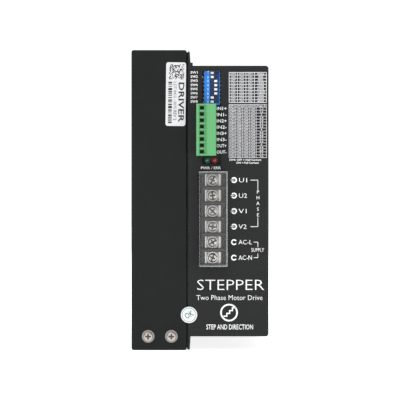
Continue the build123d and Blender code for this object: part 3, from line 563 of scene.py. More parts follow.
def cavity_effect() -> bpy.types.NodeTree:
    """Painted shade and grime in what lies deeper than a piece's face: recesses, slots and the ground under a
    head.
    """
    effect = Effect(
        "cavity_grime",
        {
            "Color": (Socket.COLOUR, None),
            "Grime Color": (Socket.COLOUR, (0.01, 0.01, 0.01, 1.0)),
            "Start": (Socket.NUMBER, 0.0),
            "Full": (Socket.NUMBER, 0.001),
            "Amount": (Socket.NUMBER, 0.8),
        },
        {"Color": Socket.COLOUR},
    )
    patch_scale, patch_span, least_patch = 1300.0, (0.2, 0.55), 0.7
    # painted shade: darker the deeper a point lies behind the piece's front face, in patches
    depth_shade = effect.ramp(effect.apart(effect.place())[1], (effect.value("Start"), effect.value("Full")))
    patchy = effect.ramp(effect.noise(effect.place(), patch_scale), patch_span, (least_patch, 1.0))
    share = effect.maths("MULTIPLY", effect.maths("MULTIPLY", depth_shade, patchy), effect.value("Amount"), clamp=True)
    return effect.close(Color=effect.blend(share, effect.value("Color"), effect.value("Grime Color")))


GRAIN = grain_effect()
RECESS_SHADE = cavity_effect()
WEAR = wear_effect()
DUST = dust_effect()


# ------------------------------------------------------------------ finishes


@dataclass(frozen=True)
class Finish:
    """One surface finish: its colour, its grain, how it wears, what settles on it and the painted shade in its
    recesses.
    """

    name: str
    colour: Colour
    roughness: float = 0.5
    metallic: float = 0.0
    specular: float = 0.5
    coat: float = 0.0
    grain: float = 1500.0
    relief: float = 0.02
    relief_strength: float = 0.6
    mottle: float = 0.12
    unevenness: float = 0.12
    lay: Lay = Lay.NONE
    dust: float = 0.1
    wear: float = 0.0
    wear_width: float = 0.8
    wear_colour: Colour = (0.3, 0.3, 0.3)
    # painted shade and grime in recesses: its amount, the depth span it fades in over, and its colour
    grime: float = 0.0
    grime_depth: Span = (0.2, 0.6)
    grime_colour: Colour = (0.012, 0.011, 0.01)

    def material(self, box: Box | None = None, tag: str = "") -> bpy.types.Material:
        """Builds the finish as a material.

        Args:
            box: Lowest and highest corner of the piece, where its edges are worn or its recesses darkened with
                painted shade and grime.
            tag: Added to the material's name, where one finish is made for several pieces.

        Returns:
            The material.
        """
        made = bpy.data.materials.new(self.name + tag)
        made.use_nodes = True
        tree = made.node_tree
        tree.nodes.clear()
        shader = tree.nodes.new("ShaderNodeBsdfPrincipled")
        tree.links.new(shader.outputs[0], tree.nodes.new("ShaderNodeOutputMaterial").inputs["Surface"])
        grain = self._effect(tree, GRAIN, {
            "Color": (*self.colour, 1.0), "Scale": self.grain, "Stretch": self.lay.value,
            "Shade Spread": self.mottle, "Roughness": self.roughness, "Roughness Spread": self.unevenness})
        colour, roughness = grain["Color"], grain["Roughness"]
        if self.wear > 0 and box is not None:
            colour = self._effect(tree, WEAR, {
                "Color": colour, "Wear Color": (*self.wear_colour, 1.0), "Low": box[0], "High": box[1],
                "Width": self.wear_width * MM, "Amount": self.wear})["Color"]
        # painted shade and grime in the piece's recesses, by depth behind its front face
        if self.grime > 0 and box is not None:
            start, full = (box[0].y + depth * MM for depth in self.grime_depth)
            colour = self._effect(tree, RECESS_SHADE, {
                "Color": colour, "Grime Color": (*self.grime_colour, 1.0), "Start": start, "Full": full,
                "Amount": self.grime})["Color"]
        if self.dust > 0:
            dust = self._effect(tree, DUST, {"Color": colour, "Roughness": roughness, "Amount": self.dust})
            colour, roughness = dust["Color"], dust["Roughness"]
        bump = tree.nodes.new("ShaderNodeBump")
        bump.inputs["Strength"].default_value = self.relief_strength
        bump.inputs["Distance"].default_value = self.relief * MM
        tree.links.new(grain["Height"], bump.inputs["Height"])
        tree.links.new(bump.outputs[0], shader.inputs["Normal"])
        tree.links.new(colour, shader.inputs["Base Color"])
        tree.links.new(roughness, shader.inputs["Roughness"])
        shader.inputs["Metallic"].default_value = self.metallic
        shader.inputs["Specular IOR Level"].default_value = self.specular
        shader.inputs["Coat Weight"].default_value = self.coat
        return made

    @staticmethod
    def _effect(tree: bpy.types.NodeTree, effect: bpy.types.NodeTree,
                values: dict[str, object]) -> bpy.types.NodeOutputs:
        """Places a shared effect in a material.

        Args:
            tree: The material's tree.
            effect: The effect's group.
            values: What each of its inputs is linked or set to.

        Returns:
            The effect's outputs.
        """
        node = tree.nodes.new("ShaderNodeGroup")
        node.node_tree = effect
        for label, value in values.items():
            if isinstance(value, bpy.types.NodeSocket):
                tree.links.new(value, node.inputs[label])
            else:
                node.inputs[label].default_value = value
        return node.outputs


@dataclass(frozen=True)
class ClearMoulding(Finish):
    """Clear plastic: nearly unseen in the middle, paler towards its rims as a painted highlight, where it is seen
    edge on.
    """

    see_through: float = 0.02
    # width and cover of the painted highlight at the rims
    rim: float = 2.0
    rim_cover: float = 0.7

    def material(self, box: Box | None = None, tag: str = "") -> bpy.types.Material:
        """Builds the clear finish, whose cover rises towards the sides of the piece's box as a painted highlight
        on its rims.

        Args:
            box: Lowest and highest corner of the piece.
            tag: Added to the material's name.

        Returns:
            The material.
        """
        made = super().material(box, tag)
        tree = made.node_tree
        shader = next(node for node in tree.nodes if node.type == "BSDF_PRINCIPLED")
        place = tree.nodes.new("ShaderNodeTexCoord").outputs["Object"]
        parts = tree.nodes.new("ShaderNodeSeparateXYZ")
        tree.links.new(place, parts.inputs[0])
        nearest = None
        for axis in (0, 2):
            for bound, inward in ((box[0][axis], self.rim), (box[1][axis], -self.rim)):
                reach = self._reach(tree, parts.outputs[axis], (bound, bound + inward * MM), (1.0, 0.0))
                reach.node.interpolation_type = "SMOOTHSTEP"
                if nearest is not None:
                    larger = tree.nodes.new("ShaderNodeMath")
                    larger.operation = "MAXIMUM"
                    tree.links.new(nearest, larger.inputs[0])
                    tree.links.new(reach, larger.inputs[1])
                    reach = larger.outputs[0]
                nearest = reach
        # painted highlight: the pale cover rises from see-through in the middle to its rim value at the box's
        # sides
        cover = self._reach(tree, nearest, (0.0, 1.0), (self.see_through, self.rim_cover))
        tree.links.new(cover, shader.inputs["Alpha"])
        return made

    @staticmethod
    def _reach(tree: bpy.types.NodeTree, value: bpy.types.NodeSocket, span: Span,
               onto: Span) -> bpy.types.NodeSocket:
        """Maps one span of a value to another.

        Args:
            tree: The material's tree.
            value: The value.
            span: Where the mapping starts and ends.
            onto: What it gives at its start and end.

        Returns:
            The mapped value.
        """
        node = tree.nodes.new("ShaderNodeMapRange")
        tree.links.new(value, node.inputs["Value"])
        for label, bound in zip(("From Min", "From Max", "To Min", "To Max"), (*span, *onto)):
            node.inputs[label].default_value = bound
        return node.outputs[0]


POWDER_DUCT = Finish("duct_black", (0.0066, 0.0076, 0.0079), specular=0.18, grain=2600, relief=0.03, mottle=0.16,
                     dust=0.05, wear=0.35, wear_width=0.5, wear_colour=(0.09, 0.09, 0.09))
POWDER_CASE = replace(POWDER_DUCT, name="case_black", colour=(0.0125, 0.013, 0.0138), specular=0.2)
ANODISED = Finish("black_anodised", (0.017, 0.017, 0.018), 0.42, metallic=0.35, grain=1800, relief=0.012,
                  lay=Lay.ALONG_Z, mottle=0.2, dust=0.12, wear=0.4, wear_width=0.5, wear_colour=(0.3, 0.3, 0.31))
ZINC = Finish("zinc_steel", (0.56, 0.56, 0.55), 0.36, metallic=0.9, grain=3000, mottle=0.25, unevenness=0.25,
              dust=0.08)
BLACK_OXIDE = Finish("black_screw", (0.02, 0.02, 0.021), 0.4, metallic=0.3, grain=3000, mottle=0.2)
FAN_MOULDING = Finish("fan_black", (0.014, 0.014, 0.015), 0.45, grain=1400, relief=0.03, dust=0.2)
# Green solder mask, darkened as painted shade for boards seen in the shadow inside the case.
SHADE_DARKENED_SOLDER_MASK = Finish("board_green", (0.008, 0.05, 0.03), 0.3, grain=900, relief=0.012, mottle=0.22, dust=0.05)
DIP_BLUE = Finish("dip_blue", (0.012, 0.21, 0.72), 0.38, grain=1700, relief=0.012, mottle=0.08, dust=0.02)
SLIDER_WHITE = Finish("slider_white", (0.82, 0.82, 0.8), 0.4, grain=1700, relief=0.01, mottle=0.05, dust=0.04)
TIN = Finish("tinned", (0.72, 0.72, 0.7), 0.3, metallic=0.9, grain=2500, mottle=0.2, dust=0.0)
PLUG_GREEN = Finish("connector_green", (0.1, 0.36, 0.14), 0.42, relief=0.018, mottle=0.08, dust=0.03,
                    wear=0.25, wear_width=0.4, wear_colour=(0.4, 0.75, 0.42))
TERMINAL_BLACK = Finish("terminal_black", (0.022, 0.022, 0.023), 0.4, dust=0.08)
NICKEL = Finish("plated_brass", (0.6, 0.57, 0.5), 0.33, metallic=0.9, grain=2400, mottle=0.2, dust=0.05)
# Painted shade: brass darkened for contacts that sit deep in the plug's entries.
SHADED_BRASS = Finish("dark_brass", (0.05, 0.045, 0.035), 0.6, metallic=0.5, grain=2400, mottle=0.3, dust=0.0)
CLEAR = ClearMoulding("clear", (0.86, 0.88, 0.88), 0.12, grain=160, relief=0.004, mottle=0.03, dust=0.0, rim=1.2,
                      rim_cover=0.2)
LED_GREEN = Finish("led_green", (0.03, 0.2, 0.09), 0.18, specular=0.6, grain=600, relief=0.004, mottle=0.05,
                   dust=0.0, coat=0.3)
LED_RED = replace(LED_GREEN, name="led_red", colour=(0.42, 0.03, 0.035))
RUBBER = Finish("rubber_black", (0.016, 0.016, 0.016), 0.7, grain=2000, relief=0.03, dust=0.15)
SLEEVE = Finish("lead_sleeve", (0.018, 0.018, 0.018), 0.6, grain=1600, dust=0.12)
PLUG_WHITE = Finish("plug_white", (0.72, 0.7, 0.64), 0.45, dust=0.08)
EPOXY = Finish("device_black", (0.02, 0.02, 0.02), grain=2600, dust=0.06)
PAD_GREY = Finish("pad_grey", (0.4, 0.42, 0.45), 0.75, grain=1800, relief=0.03, dust=0.06)
CAN_SLEEVE = Finish("can_sleeve", (0.012, 0.013, 0.03), 0.3, grain=700, dust=0.05)
FERRITE = Finish("ferrite", (0.05, 0.05, 0.052), 0.65, grain=2200, relief=0.04, dust=0.05)
FILM_YELLOW = Finish("film_yellow", (0.7, 0.5, 0.05), 0.4, relief=0.015, dust=0.05)
RELAY_BLUE = Finish("relay_blue", (0.02, 0.09, 0.33), 0.4, relief=0.015, dust=0.05)
CERAMIC = Finish("fuse_ceramic", (0.7, 0.7, 0.67), 0.45, grain=2000, relief=0.01, dust=0.05)
CHIP = Finish("chip_epoxy", (0.018, 0.018, 0.019), 0.45, grain=3000, dust=0.03)
INK_WHITE = Finish("screen_white", (0.9, 0.9, 0.9), 0.6, specular=0.3, grain=4200, relief=0.006, mottle=0.3,
                   dust=0.0)
TABLE_INK = replace(INK_WHITE, name="table_white", colour=(0.62, 0.62, 0.64))
INK_BLACK = replace(INK_WHITE, name="label_ink", colour=(0.02, 0.02, 0.022), relief=0.005)
INK_GREY = replace(INK_BLACK, name="label_grey_ink", colour=(0.12, 0.12, 0.13))
PAPER = Finish("label_paper", (0.62, 0.62, 0.64), 0.55, specular=0.35, grain=1600, relief=0.012, mottle=0.05,
               dust=0.03)
STICKER = Finish("sticker_silver", (0.7, 0.73, 0.73), 0.3, grain=900, relief=0.012, dust=0.0)
STICKER_INK = Finish("sticker_ink", (0.1, 0.15, 0.14), grain=3000, relief=0.004, mottle=0.3, dust=0.0)

# These finishes darken their recesses with painted shade and grime: screw slots, head flanks and the ground round
# the clamps.
TERMINAL_SCREW = replace(ZINC, name="terminal_screw_zinc", colour=(0.62, 0.6, 0.57), roughness=0.28, grime=0.93,
                         grime_depth=(0.25, 0.8))
TERMINAL_CLAMP = Finish("terminal_clamp_zinc", (0.66, 0.65, 0.62), 0.3, metallic=0.9, grain=2600, relief=0.025,
                        lay=Lay.ALONG_X, mottle=0.25, unevenness=0.25, dust=0.06, grime=0.72,
                        grime_depth=(0.35, 1.25), grime_colour=(0.06, 0.055, 0.05))
COVER_SCREW = replace(ZINC, name="cover_screw_zinc", colour=(0.5, 0.47, 0.44), grime=0.92, grime_depth=(0.3, 0.9),
                      grime_colour=(0.03, 0.02, 0.016))
COVER_WASHER = replace(ZINC, name="cover_washer_zinc", colour=(0.3, 0.285, 0.27))
# Painted shade: the switch bank's slot region darkens to deep navy with depth behind its face.
SWITCH_BODY = replace(DIP_BLUE, name="switch_body_blue", grime=0.95, grime_depth=(0.05, 0.4),
                      grime_colour=(0.004, 0.014, 0.06))

SLOT_FINISH: dict[str, Finish] = {
    "duct_black": POWDER_DUCT, "case_black": POWDER_CASE, "black_anodised": ANODISED, "steel": ZINC,
    "black_screw": BLACK_OXIDE, "fan_black": FAN_MOULDING, "board_green": SHADE_DARKENED_SOLDER_MASK, "dip_blue": DIP_BLUE,
    "slider_white": SLIDER_WHITE, "tin": TIN, "connector_green": PLUG_GREEN, "terminal_black": TERMINAL_BLACK,
    "plated_brass": NICKEL, "clear": CLEAR, "led_green": LED_GREEN, "led_red": LED_RED, "rubber_black": RUBBER,
    "lead_sleeve": SLEEVE, "plug_white": PLUG_WHITE, "device_black": EPOXY, "pad_grey": PAD_GREY,
    "can_sleeve": CAN_SLEEVE, "ferrite": FERRITE, "film_yellow": FILM_YELLOW, "relay_blue": RELAY_BLUE,
    "fuse_glass": CERAMIC,
}
NODE_FINISH: dict[str, Finish] = {
    "terminal_clamps": TERMINAL_CLAMP, "plug_contacts": SHADED_BRASS, "dip_body": SWITCH_BODY,
    "cover_screws": COVER_SCREW, "cover_washers": COVER_WASHER,
    **{f"terminal_screw_{way}": TERMINAL_SCREW for way in range(1, 7)},
}


class Wardrobe:
    """Keeps one material for each finish, and one for each worn piece, so that none is built twice."""

    def __init__(self) -> None:
        """Starts with no materials."""
        self.made: dict[str, bpy.types.Material] = {}

    def plain(self, finish: Finish) -> bpy.types.Material:
        """The material of a finish with no piece of its own."""
        if finish.name not in self.made:
            self.made[finish.name] = finish.material()
        return self.made[finish.name]

    def fitted(self, finish: Finish, node: str) -> bpy.types.Material:
        """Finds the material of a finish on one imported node, whose box gives its edges.

        Args:
            finish: The finish.
            node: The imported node.

        Returns:
            The material, which is the plain one where the finish has nothing to fit.
        """
        if finish.wear == 0 and finish.grime == 0 and not isinstance(finish, ClearMoulding):
            return self.plain(finish)
        key = f"{finish.name}_{node}"
        if key not in self.made:
            self.made[key] = finish.material(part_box(node), "_" + node)
        return self.made[key]

    def dress_nodes(self) -> None:
        """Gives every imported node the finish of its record's material slot."""
        for name, item in sorted(frame["nodes"].items()):
            slot = item.data.materials[0].name.split(".")[0]
            finish = NODE_FINISH.get(name, SLOT_FINISH[slot])
            item.data.materials[0] = self.fitted(finish, name)
            log.info("node %s wears %s", name, finish.name)


# ------------------------------------------------------------------ flat printing


def cap_share() -> float:
    """Height of a capital letter for lettering of size 1."""
    clear_selection()
    bpy.ops.object.text_add()
    sample = bpy.context.object
    sample.data.body = "H"
    bpy.context.view_layer.update()
    share = sample.dimensions.y
    bpy.data.objects.remove(sample)
    return share


CAP_SHARE = cap_share()


@dataclass
class PrintedSheet:
    """Printing gathered flat, in (left, height) millimetres, then laid on the unit as one thin solid piece."""

    name: str
    finish: Finish = INK_WHITE
    thickness: float = 0.05
    sunk: float = 0.02
    merge: float = 1e-5
    pieces: list[bpy.types.Object] = field(default_factory=list)
    strokes: list[tuple[float, float, float, float]] = field(default_factory=list)

    def words(self, text: str, left: float, height: float, cap: float, align: Align = Align.LEFT,
              width: float | None = None, weight: float = 0.0, quarter_turns: int = 0,
              pitch: float | None = None) -> None:
        """Adds lettering.

        Args:
            text: The words; new lines go below one another.
            left: Where the first line starts or is centred.
            height: Foot of the first line's capitals.
            cap: Height of a capital letter.
            align: What of the line stands at left.
            width: Width that the lettering is fitted to, where it is given.
            weight: How much the strokes are thickened, as a share of the cap height.
            quarter_turns: Quarter turns anticlockwise about the given place.
            pitch: Distance between lines.
        """
        clear_selection()
        bpy.ops.object.text_add()
        item = bpy.context.object
        item.data.body = text
        item.data.size = cap / CAP_SHARE
        item.data.align_x = align.value
        item.data.offset = weight * cap
        item.data.extrude = self.thickness / 2
        item.data.resolution_u = 2
        if pitch is not None:
            item.data.space_line = pitch * CAP_SHARE / cap
        bpy.ops.object.convert(target="MESH")
        item = bpy.context.object
        stretch = 1.0
        if width is not None:
            across = [vertex.co.x for vertex in item.data.vertices]
            stretch = width / (max(across) - min(across))
        turn = Matrix.Rotation(quarter_turns * math.pi / 2, 4, "Z")
        settle(item, Matrix.Translation((left, height, 0.0)) @ turn @ Matrix.Diagonal((stretch, 1.0, 1.0, 1.0)))
        self.pieces.append(face_outwards(item, self.merge))

    def bar(self, left: Span, height: Span) -> None:
        """Adds one filled rectangle between two lefts and two heights."""
        self.strokes.append((*left, *height))

    def frame(self, left: Span, height: Span, line: float) -> None:
        """Adds a rectangle's outline.

        Args:
            left: Its left and right side.
            height: Its lower and upper side.
            line: Width of its line, which lies inside the given sides.
        """
        self.bar(left, (height[0], height[0] + line))
        self.bar(left, (height[1] - line, height[1]))
        self.bar((left[0], left[0] + line), (height[0] + line, height[1] - line))
        self.bar((left[1] - line, left[1]), (height[0] + line, height[1] - line))

    def ring(self, centre: Span, radius: float, line: float, gap_at: float | None = None, gap: float = 0.0,
             facets: int = 40) -> None:
        """Adds a ring, open where a gap is given.

        Args:
            centre: Its centre.
            radius: Its outer radius.
            line: Width of its line.
            gap_at: Direction of the gap, in degrees from the right, anticlockwise.
            gap: Size of the gap in degrees.
            facets: Straight pieces round the ring.
        """
        clear_selection()
        bpy.ops.mesh.primitive_circle_add(vertices=facets, radius=radius, fill_type="NGON")
        item = bpy.context.object
        bpy.ops.object.mode_set(mode="EDIT")
        bpy.ops.mesh.select_all(action="SELECT")
        bpy.ops.mesh.inset(thickness=line, depth=0.0)
        bpy.ops.mesh.delete(type="FACE")
        if gap_at is not None:
            shape = bmesh.from_edit_mesh(item.data)
            for face in shape.faces:
                middle = face.calc_center_median()
                away = (math.degrees(math.atan2(middle.y, middle.x)) - gap_at + 180) % 360 - 180
                face.select_set(abs(away) < gap / 2)
            bmesh.update_edit_mesh(item.data)
            bpy.ops.mesh.delete(type="FACE")
        bpy.ops.mesh.select_all(action="SELECT")
        bpy.ops.mesh.extrude_region_move(TRANSFORM_OT_translate={"value": (0.0, 0.0, self.thickness)})
        bpy.ops.mesh.select_all(action="SELECT")
        bpy.ops.transform.translate(value=(0.0, 0.0, -self.thickness / 2))
        bpy.ops.object.mode_set(mode="OBJECT")
        settle(item, Matrix.Translation((*centre, 0.0)))
        self.pieces.append(face_outwards(item, self.merge))

    def _struck(self) -> bpy.types.Object:
        """Makes every filled rectangle, as copies of one thin block."""
        model = slab(Vector((-0.5, -0.5, -0.5)), Vector((0.5, 0.5, 0.5)), self.name + "_stroke")
        places = []
        for left, right, low, high in self.strokes:
            place = Matrix.Translation(((left + right) / 2, (low + high) / 2, 0.0))
            places.append(place @ Matrix.Diagonal((right - left, high - low, self.thickness, 1.0)))
        return copies(model, places, self.name + "_strokes")

    def lay(self, wardrobe: Wardrobe, sheet: Matrix, body: str = UNIT, turn: Matrix | None = None) -> None:
        """Lays the printing on its surface as one piece.

        Args:
            wardrobe: Where its material is kept.
            sheet: Matrix of the surface's plane, from the corner's front_sheet.
            body: The body that it rides on.
            turn: A further placing on the flat sheet, in millimetres.
        """
        if self.strokes:
            self.pieces.append(self._struck())
        whole = join(self.pieces, self.name)
        raised = Matrix.Translation((0.0, 0.0, self.thickness / 2 - self.sunk))
        settle(whole, sheet @ raised @ (turn or Matrix.Identity(4)))
        finish_and_fix(whole, wardrobe.plain(self.finish), body)


# ------------------------------------------------------------------ the front panel's printing


def spread(count: int, pitch: float, centre: float) -> list[float]:
    """Evenly pitched places about a centre, highest first."""
    return [centre + pitch * ((count - 1) / 2 - index) for index in range(count)]


@dataclass(frozen=True)
class Line:
    """One line of lettering: its words, place, cap height, fitted width and stroke weight."""

    text: str
    left: float
    height: float
    cap: float
    width: float
    weight: float = 0.0
    align: Align = Align.LEFT

    def onto(self, sheet: PrintedSheet, quarter_turns: int = 0) -> None:
        """Prints the line on a sheet, turned by quarter turns about its own place."""
        sheet.words(self.text, self.left, self.height, self.cap, self.align, self.width, self.weight,
                    quarter_turns)


@dataclass
class FrontPanel:
    """White printing on the electronics case's front panel."""

    corner: Corner
    wardrobe: Wardrobe
    signals: tuple[str, ...] = ("IN1+", "IN1-", "IN2+", "IN2-", "IN3+", "IN3-", "OUT+", "OUT-")
    phases: tuple[str, ...] = ("U1", "U2", "V1", "V2", "AC-L", "AC-N")
    phase_ways: int = 4
    switch_names_left: float = 36.2
    switch_cap: float = 1.45
    switch_width: float = 4.3
    signal_names_left: float = 52.1
    signal_pitch: float = 3.81
    signal_cap: float = 1.9
    signal_widths: Span = (4.6, 6.0)
    lamps: Line = Line("PWR / ERR", 48.6, 110.9, 1.6, 12.2, 0.02, Align.CENTRE)
    icon_left: float = 62.85
    icon_radius: float = 1.8
    icon_line: float = 0.8
    icon_gap: float = 62.0
    icon_tail: Span = (-2.1, 0.3)
    icon_tail_half: float = 0.17
    phase_left: float = 65.6
    phase_cap: float = 2.7
    phase_widths: Span = (4.9, 8.2)
    line: float = 0.32
    bracket_left: float = 77.3
    stub_lefts: Span = (72.9, 74.9)
    phase_arms: Span = (5.8, 5.6)
    supply_arms: Span = (2.9, 2.5)
    bracket_word: str = "PHASE"
    bracket_word_centre: float = 90.0
    bracket_word_pitch: float = 3.5
    bracket_cap: float = 2.0
    supply_cap: float = 2.2
    supply_width: float = 7.8
    titles: tuple[Line, ...] = (
        Line("STEPPER", 39.7, 36.9, 6.4, 40.9, -0.02),
        Line("Two Phase Motor Drive", 39.8, 30.8, 3.0, 40.4, -0.01),
        Line("STEP AND DIRECTION", 45.8, 12.8, 3.0, 28.6, 0.006),
    )
    emblem_centre: Span = (59.8, 23.1)
    emblem_radius: float = 5.4
    emblem_ring: float = 1.0
    emblem_step: float = 1.7
    emblem_line: float = 0.75
    emblem_treads: int = 4
    table_left: Span = (59.7, 82.9)
    step_table: Span = (151.6, 170.4)
    current_table: Span = (117.9, 150.7)
    step_values: tuple[int, ...] = (400, 800, 1600, 3200, 6400, 12800, 1000, 2000, 4000)
    lowest_current: float = 1.2
    current_step: float = 0.4
    current_rows: int = 17
    notes: tuple[Line, ...] = (
        Line("SW4: OFF = Half Current", 59.9, 116.1, 1.15, 19.6, 0.02),
        Line("ON = Full Current", 64.2, 114.3, 1.15, 13.8, 0.02),
    )

    def print_lines(self, name: str, lines: tuple[Line, ...]) -> None:
        """Prints lines of lettering as one piece.

        Args:
            name: The piece's name.
            lines: The lines.
        """
        sheet = PrintedSheet(name)
        for line in lines:
            line.onto(sheet)
        sheet.lay(self.wardrobe, self.corner.front_sheet())

    def switch_names(self) -> None:
        """Numbers each switch, to the left of the switch bank."""
        foot = 0.72
        self.print_lines("print_switch_names", tuple(
            Line(f"SW{way}", self.switch_names_left, self.corner.middle_of(f"dip_slider_{way}") - foot,
                 self.switch_cap, self.switch_width, 0.012) for way in range(1, 9)))

    def signal_names(self) -> None:
        """Names each way of the signal plug, to its right."""
        heights = spread(len(self.signals), self.signal_pitch, self.corner.middle_of("signal_plug"))
        narrow, wide = self.signal_widths
        self.print_lines("print_signal_names", tuple(
            Line(name, self.signal_names_left, height - self.signal_cap / 2, self.signal_cap,
                 wide if len(name) > 3 else narrow, 0.016) for name, height in zip(self.signals, heights)))

    def terminal_names(self) -> None:
        """Marks each terminal with a ring and a name, and gathers them with brackets."""
        sheet = PrintedSheet("print_terminal_names")
        rows = [self.corner.middle_of(f"terminal_screw_{way}") for way in range(1, len(self.phases) + 1)]
        half = self.line / 2
        for way, (height, name) in enumerate(zip(rows, self.phases)):
            phase = way < self.phase_ways
            sheet.ring((self.icon_left, height), self.icon_radius, self.icon_line, 180.0 if phase else 0.0,
                       self.icon_gap, facets=36)
            if phase:
                sheet.bar((self.icon_left + self.icon_tail[0], self.icon_left + self.icon_tail[1]),
                          (height - self.icon_tail_half, height + self.icon_tail_half))
            sheet.words(name, self.phase_left, height - self.phase_cap / 2, self.phase_cap,
                        width=self.phase_widths[0 if phase else 1], weight=-0.008)
        right = self.bracket_left + self.line
        upright = (self.bracket_left, right)
        groups = ((rows[0], rows[self.phase_ways - 1], self.phase_arms), (rows[-2], rows[-1], self.supply_arms))
        for stub_left, (upper, lower, arms) in zip(self.stub_lefts, groups):
            for height in (upper, lower):
                sheet.bar((stub_left, right), (height - half, height + half))
            sheet.bar(upright, (upper - arms[0], upper))
            sheet.bar(upright, (lower, lower + arms[1]))
        letters = spread(len(self.bracket_word), self.bracket_word_pitch, self.bracket_word_centre)
        for letter, height in zip(self.bracket_word, letters):
            sheet.words(letter, self.bracket_left + 0.2, height - self.bracket_cap / 2, self.bracket_cap,
                        Align.CENTRE, weight=0.004)
        sheet.words("SUPPLY", self.bracket_left, (rows[-2] + rows[-1] - self.supply_cap) / 2, self.supply_cap,
                    Align.CENTRE, self.supply_width, -0.002)
        sheet.lay(self.wardrobe, self.corner.front_sheet())

    def emblem(self) -> None:
        """Prints the round emblem, four rising steps in a ring."""
        sheet = PrintedSheet("print_emblem")
        sheet.ring(self.emblem_centre, self.emblem_radius, self.emblem_ring, facets=48)
        step, line = self.emblem_step, self.emblem_line
        for tread in range(self.emblem_treads):
            left = self.emblem_centre[0] + (tread - self.emblem_treads / 2) * step
            height = self.emblem_centre[1] + (tread - (self.emblem_treads - 1) / 2) * step
            sheet.bar((left, left + step + line), (height, height + line))
            if tread < self.emblem_treads - 1:
                sheet.bar((left + step, left + step + line), (height + line, height + step))
        sheet.lay(self.wardrobe, self.corner.front_sheet())

    def tables(self) -> None:
        """Prints the two switch-setting tables."""
        currents = [round(self.lowest_current + self.current_step * row, 1) for row in range(self.current_rows)]
        for table in (
            SettingTable("print_step_table", self.table_left, self.step_table, switches=3, first_switch=5,
                         heading="Steps", values=self.step_values, value_share=0.325, text_share=0.64, line=0.4),
            SettingTable("print_current_table", self.table_left, self.current_table, switches=4, first_switch=1,
                         heading="Peak A", values=tuple(currents), value_share=0.28, text_share=0.8, line=0.26),
        ):
            table.lay(self.corner, self.wardrobe)

    def dress(self) -> None:
        """Prints the whole panel."""
        self.switch_names()
        self.signal_names()
        self.print_lines("print_lamp_names", (self.lamps,))
        self.terminal_names()
        self.print_lines("print_titles", self.titles)
        self.emblem()
        self.tables()
        self.print_lines("print_table_note", self.notes)


@dataclass
class SettingTable:
    """A printed table of switch settings: one column for each switch, then a column of values.

    A row's cap height and the foot of its first line are shares of the row's pitch, and the shares of the
    value column and of its words are of the table's and of each column's width.
    """

    name: str
    left: Span
    height: Span
    switches: int
    first_switch: int
    heading: str
    values: tuple[float, ...]
    value_share: float
    text_share: float
    line: float
    cap_share: float = 0.62
    foot_share: float = 0.81
    weight: float = 0.03

    def columns(self) -> list[float]:
        """Lefts of the column edges, the value column last."""
        value_left = self.left[1] - (self.left[1] - self.left[0]) * self.value_share
        column = (value_left - self.left[0]) / self.switches
        return [self.left[0] + column * index for index in range(self.switches + 1)] + [self.left[1]]

    def entries(self) -> list[str]:
        """Each column's lines of words, from the left."""
        made = []
        for index in range(self.switches):
            settings = ["OFF" if row >> index & 1 else "ON" for row in range(len(self.values))]
            made.append("\n".join([f"SW{self.first_switch + index}"] + settings))
        made.append("\n".join([self.heading] + [f"{value:g}" for value in self.values]))
        return made

    def lay(self, corner: Corner, wardrobe: Wardrobe) -> None:
        """Prints the table on the panel.

        Args:
            corner: The corner that its place is measured from.
            wardrobe: Where its material is kept.
        """
        sheet = PrintedSheet(self.name, TABLE_INK)
        rows = len(self.values) + 1
        pitch = (self.height[1] - self.height[0]) / rows
        edges = self.columns()
        half = self.line / 2
        sheet.frame(self.left, self.height, self.line)
        for row in range(1, rows):
            level = self.height[1] - pitch * row
            sheet.bar((self.left[0] + self.line, self.left[1] - self.line), (level - half, level + half))
        for edge in edges[1:-1]:
            sheet.bar((edge - half, edge + half), (self.height[0] + self.line, self.height[1] - self.line))
        for low, high, entry in zip(edges, edges[1:], self.entries()):
            sheet.words(entry, (low + high) / 2, self.height[1] - pitch * self.foot_share, pitch * self.cap_share,
                        Align.CENTRE, width=(high - low) * self.text_share, weight=self.weight, pitch=pitch)
        sheet.lay(wardrobe, corner.front_sheet())


# ------------------------------------------------------------------ labels


